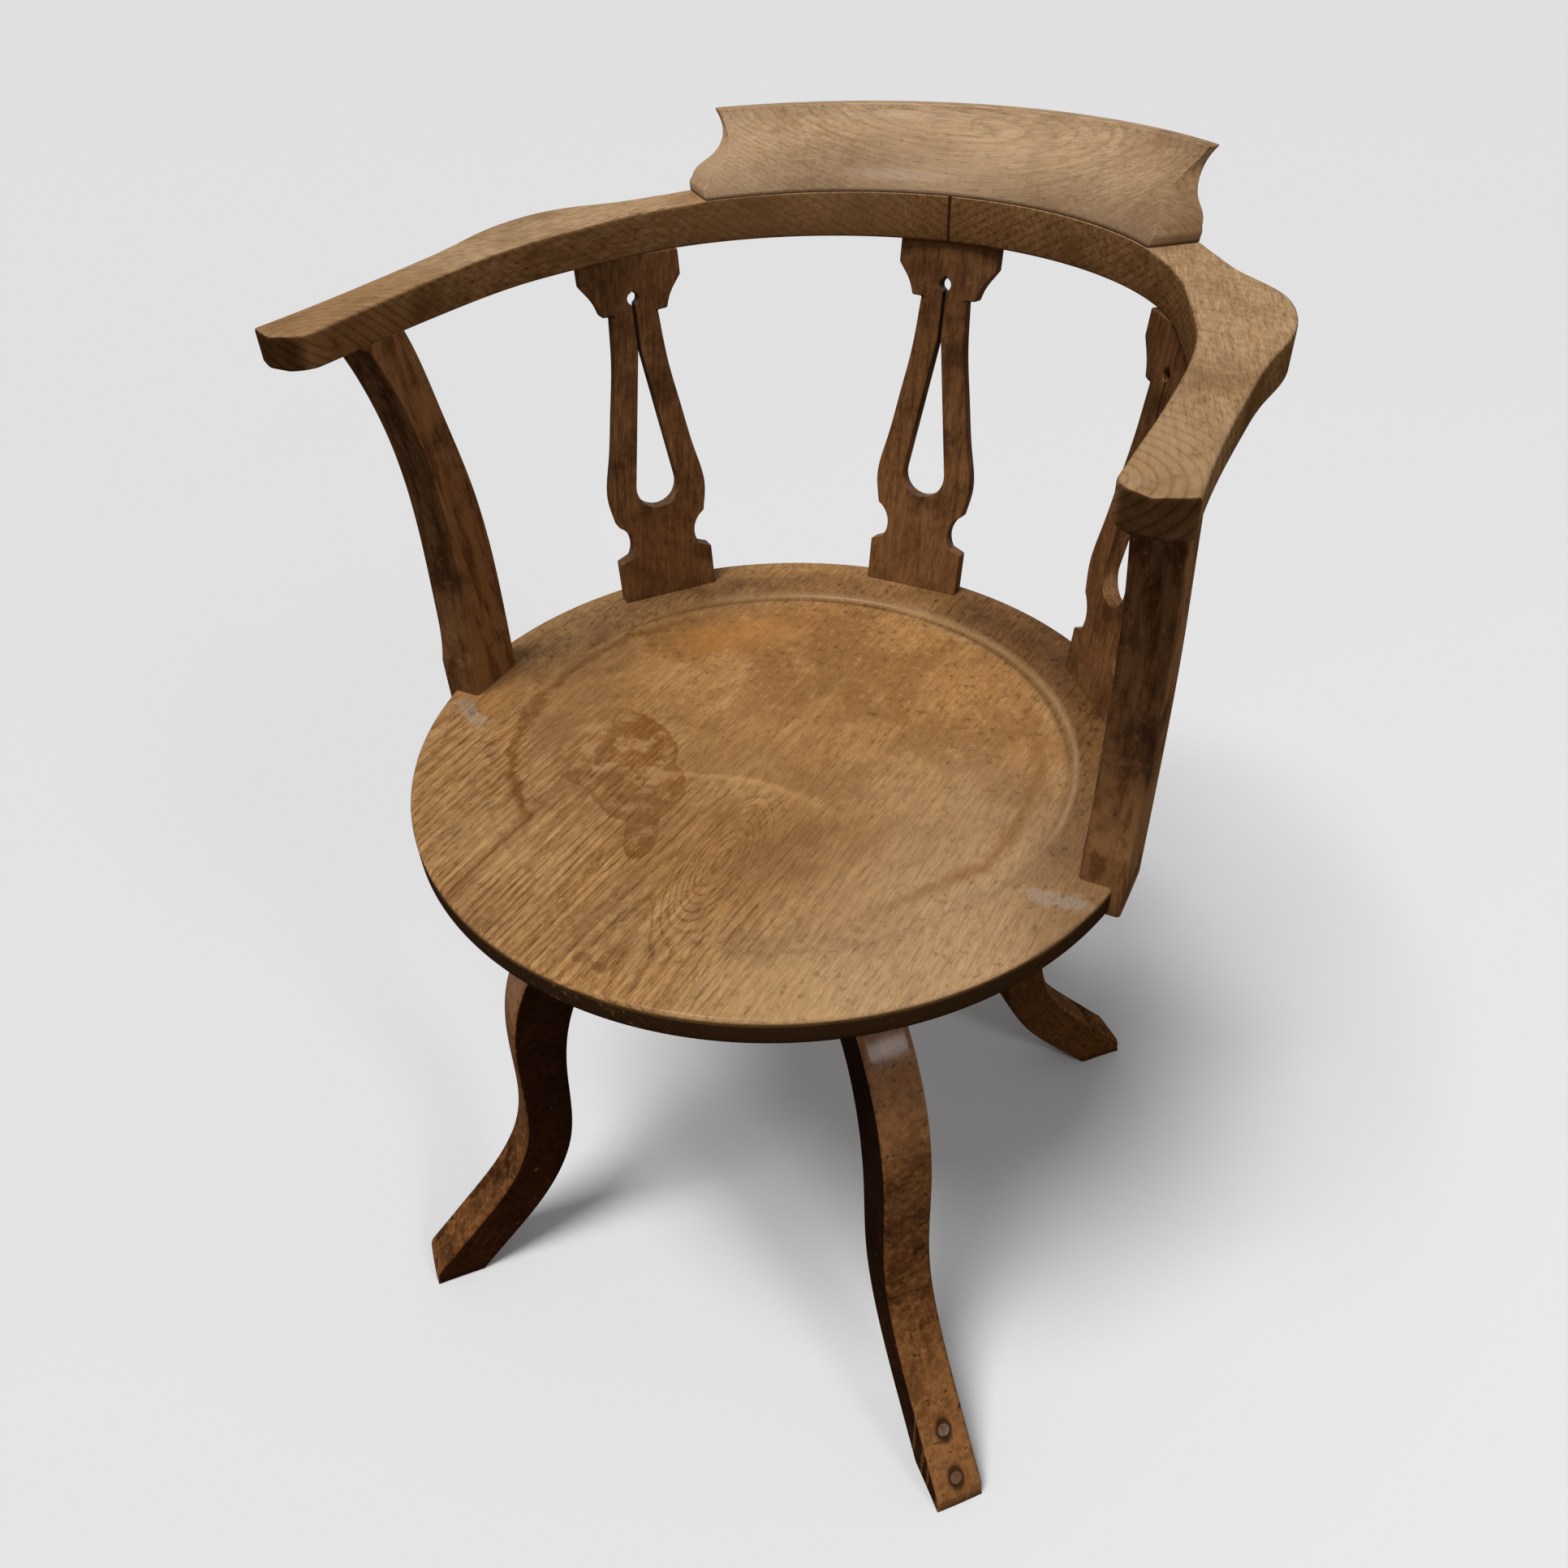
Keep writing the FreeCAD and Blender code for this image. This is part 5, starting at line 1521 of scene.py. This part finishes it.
def leg_oak(look, name, turn):
    """Leg wood: grain from hub to toe, bared on the toe, bared and given a painted highlight on the knee, darkened
    beside with painted shade.
    """
    f = Finish(name)
    a = math.radians(turn)
    along = (0.55 * math.cos(a), 0.55 * math.sin(a), -0.8)
    centre = (0.17 * math.cos(a), 0.17 * math.sin(a) + AXIS_Y, 0.2)
    oak = Oak(f, look, along, centre)
    oak.grow(oak.reach((0.0, 0.06), 0.04, 0.03), 0.0046, 0.5)
    z = f.axes(oak.spot)[2]
    nx, ny, nz = oak.facing()
    out = nx * math.cos(a) + ny * math.sin(a) + nz
    top = out.rise(0.35, 0.75)
    oak.film = top * (z.rise(0.24, 0.31) * 0.95 + 0.05)
    oak.stain(oak.blotch.rise(0.46, 0.74) * 0.4, look.dark)
    oak.stain(top * oak.blotch.fall(0.42, 0.62) * 0.3, look.rub_and_highlight)
    trodden = 0.65 if "front_right" in name else 0.0
    oak.stain(top * z.fall(0.03, 0.11) * trodden, look.rub_and_highlight)
    # bared wood and a painted highlight on top of the knees
    oak.stain(top * z.rise(0.23, 0.27) * 0.6, look.rub_and_highlight)
    oak.darken(top * between(z, 0.11, 0.21, 0.03) * 0.7, LEG_SHIN_WASH)
    # painted shade on the sides, darker high up under the seat, and darker still on the front legs
    oak.stain((1.0 - top) * (0.75 - z.fall(0.02, 0.14) * 0.45), look.dark)
    back = "back" in name
    oak.darken((1.0 - top) * (0.0 if back else 1.0), LEG_SIDE_SHADE)
    # painted light: the back legs' sides are lighter
    oak.stain((1.0 - top) * (0.3 if back else 0.0), look.light)
    oak.darken(oak.grit.rise(0.42, 0.62) * 0.55, LEG_GRIT_WASH)
    oak.stain(oak.grit.fall(0.34, 0.50) * top * 0.35, look.rub_and_highlight)
    speck = f.noise(oak.spot, (240.0, 240.0, 240.0), 3.0, 0.6)
    oak.stain(speck.rise(0.60, 0.70) * 0.75, look.pore)
    oak.stain(speck.fall(0.26, 0.34) * z.fall(0.04, 0.30) * 0.6, look.rub_and_highlight)
    chips = oak.rubbed() * oak.grit.rise(0.40, 0.56) * (z.fall(0.05, 0.3) * 0.5 + 0.3)
    oak.stain(chips, look.rub_and_highlight)
    oak.stain(z.fall(0.002, 0.012) * 0.5, look.pore)
    if name.startswith("leg_front_right"):
        ankle, toe = leg_table_edge()
        for share_down in TOE_SCREWS:
            spot = ankle + (toe - ankle) * share_down
            spot = turned(np.array([spot[0], 0.0, spot[1]]), turn) * MM + SWIVEL
            dirt = oak.oval(spot[:2], (0.0062, 0.0062)) + (oak.grit - 0.5) * 0.9
            oak.stain(dirt.fall(0.7, 1.2) * 0.85, look.pore)
            scratch = oak.oval(spot[:2] - 0.004, (0.016, 0.012), -30) + (oak.grit - 0.5) * 0.15
            oak.stain(between(scratch, 0.96, 1.03, 0.02) * ny.fall(-0.7, -0.2) * 0.4, look.rub_and_highlight)
    return oak.done()


class ChairLegs(bpy.types.Operator):
    """Makes the four sabre legs"""

    bl_idname = "chair.legs"
    bl_label = "Legs"

    def execute(self, context):
        look = context.scene.chair_legs
        for node, turn in LEG_TURNS.items():
            leg = leg_mesh(node + "_sabre", look, turn, node == "leg_front_right")
            stand_for(leg, node, "base", leg_oak(look, node + "_oak", turn))
        refinish("hub", leg_oak(look, "hub_oak", LEG_TURNS["leg_back_right"]))
        return {"FINISHED"}


# Iron, screws and pegs


def metal(name, colour, rust, amount):
    """Dull metal: cast or drawn, clouded, with rust where a noise runs high."""
    f = Finish(name)
    spot = f.place()
    cloud = f.noise(spot, (60.0, 60.0, 60.0), 4.0, 0.6)
    pits = f.noise(spot, (900.0, 900.0, 900.0), 3.0, 0.6)
    rusty = cloud.rise(0.72 - amount, 0.9 - amount)
    shade = f.mix(rusty, colour, rust)
    rough = 0.42 + cloud * 0.2 + rusty * 0.25
    return f.finish(shade, rough, pits, 0.08 * MM, metal=1.0 - rusty * 0.8)


def peg_wood(look):
    """Dry hardwood with a fine straight grain."""
    f = Finish("peg_wood")
    spot = f.place()
    grain = f.noise(spot, (60.0, 700.0, 700.0), 3.0, 0.6)
    shade = f.mix(grain * 0.5, look.peg, look.peg_grain)
    return f.finish(shade, 0.6 + grain * 0.2, grain, 0.1 * MM)


class ChairFittings(bpy.types.Operator):
    """Gives the iron work, screws and dowels their finish"""

    bl_idname = "chair.fittings"
    bl_label = "Iron, screws and dowels"

    def execute(self, context):
        look = context.scene.chair_metal
        finishes = {
            "dark_iron": metal("blackened_iron", look.iron, look.rust, 0.1),
            "bright_steel": metal("dull_steel", look.steel, look.rust, 0.16),
            "toe_screws": metal("rusty_steel", look.old, look.rust, 0.30),
            "dowel_wood": peg_wood(look),
        }
        for part in frame["record"]["subparts"]:
            finish = finishes.get(part["node"], finishes.get(part["material_slot"]))
            if finish:
                refinish(part["node"], finish)
        return {"FINISHED"}


# Stage

CAMERA_TURN = 28.835
CAMERA_RISE = 38.955
CAMERA_ROLL = -2.297
CAMERA_SPOT = (303.42, -548.25, 897.41)
CAMERA_LENS = 28.536
FLOOR_HALF = 14.0
KEY_FROM = (-0.15, -0.38, 1.0)
KEY_SPREAD = 24
FILL_SPOT = (2.15, -1.0, 1.65)
FILL_AIM = (0.05, -0.1, 0.35)
FILL_SIZE = 0.5
SKY_TINT = (1.0, 0.99, 0.97)


def camera_matrix():
    """Axes of the camera from its turn, rise and roll, and its place."""
    a = math.radians(CAMERA_TURN)
    e = math.radians(CAMERA_RISE)
    back = Vector((math.sin(a) * math.cos(e), -math.cos(a) * math.cos(e), math.sin(e)))
    right = (-back).cross(Vector((0, 0, 1))).normalized()
    up = right.cross(-back)
    r = math.radians(CAMERA_ROLL)
    side = right * math.cos(r) + up * math.sin(r)
    top = up * math.cos(r) - right * math.sin(r)
    turn = Matrix((side, top, back)).transposed().to_4x4()
    spot = Vector(CAMERA_SPOT) * MM + Vector(SWIVEL)
    return Matrix.Translation(spot) @ turn


class ChairStage(bpy.types.Operator):
    """Sets the pale floor, the soft light and the camera"""

    bl_idname = "chair.stage"
    bl_label = "Stage"

    def execute(self, context):
        look = context.scene.chair_stage
        scene = context.scene
        mesh = bpy.data.meshes.new("floor")
        signs = ((-1, -1), (1, -1), (1, 1), (-1, 1))
        corners = [(x * FLOOR_HALF, y * FLOOR_HALF, 0) for x, y in signs]
        mesh.from_pydata(corners, [], [(0, 1, 2, 3)])
        floor = placed("floor", mesh)
        f = Finish("pale_floor")
        shade = f.mix(f.looked_at(), (look.bounce,) * 3, look.floor)
        cloud = f.noise(f.place(), (3.0, 3.0, 3.0), 2.0)
        mesh.materials.append(f.finish(shade, 0.9, cloud, 0.05 * MM))
        scene.world = bpy.data.worlds.new("studio")
        f = Finish("studio", scene.world)
        shade = f.mix(f.looked_at(), [look.sky * part for part in SKY_TINT], look.wall)
        ground = f.node("ShaderNodeBackground", inputs={"Color": shade})
        f.node("ShaderNodeOutputWorld", inputs={"Surface": ground})
        sun = bpy.data.lights.new("key", "SUN")
        sun.energy = look.key
        sun.angle = math.radians(KEY_SPREAD)
        key = placed("key", sun)
        key.rotation_euler = Vector(KEY_FROM).to_track_quat("Z", "Y").to_euler()
        panel = bpy.data.lights.new("fill", "AREA")
        panel.energy = look.fill
        panel.size = FILL_SIZE
        fill = placed("fill", panel)
        fill.location = FILL_SPOT
        aim = Vector(FILL_SPOT) - Vector(FILL_AIM)
        fill.rotation_euler = aim.to_track_quat("Z", "Y").to_euler()
        data = bpy.data.cameras.new("portrait")
        data.sensor_width = 36.0
        data.sensor_fit = "HORIZONTAL"
        data.lens = CAMERA_LENS
        camera = placed("portrait", data)
        camera.matrix_world = camera_matrix()
        scene.camera = camera
        scene.view_settings.view_transform = "Standard"
        return {"FINISHED"}


# Add-on

STEPS = (
    ChairStage,
    ChairSeat,
    ChairBow,
    ChairCrest,
    ChairSplats,
    ChairSupports,
    ChairLegs,
    ChairFittings,
)
LOOKS = {
    "chair_seat": SeatLook,
    "chair_bow": BowLook,
    "chair_back": BackLook,
    "chair_legs": LegLook,
    "chair_metal": MetalLook,
    "chair_stage": StageLook,
}


class ChairPanel(bpy.types.Panel):
    """Lists the chair's steps and looks"""

    bl_idname = "VIEW3D_PT_captains_chair"
    bl_label = "Captains chair"
    bl_space_type = "VIEW_3D"
    bl_region_type = "UI"
    bl_category = "Chair"

    def draw(self, context):
        for step in STEPS:
            self.layout.operator(step.bl_idname)
        for name, look in LOOKS.items():
            box = self.layout.box()
            box.label(text=name.replace("_", " ").capitalize())
            for prop in look.__annotations__:
                box.prop(getattr(context.scene, name), prop)


def register():
    """Registers the looks, the steps and the panel."""
    for look in LOOKS.values():
        bpy.utils.register_class(look)
    for name, look in LOOKS.items():
        setattr(bpy.types.Scene, name, PointerProperty(type=look))
    for step in (*STEPS, ChairPanel):
        bpy.utils.register_class(step)


def unregister():
    """Takes back what register did."""
    for step in (ChairPanel, *reversed(STEPS)):
        bpy.utils.unregister_class(step)
    for name, look in LOOKS.items():
        delattr(bpy.types.Scene, name)
        bpy.utils.unregister_class(look)


def main():
    """Builds the whole chair."""
    register()
    for step in STEPS:
        group, name = step.bl_idname.split(".")
        getattr(getattr(bpy.ops, group), name)()


if __name__ == "__main__":
    main()
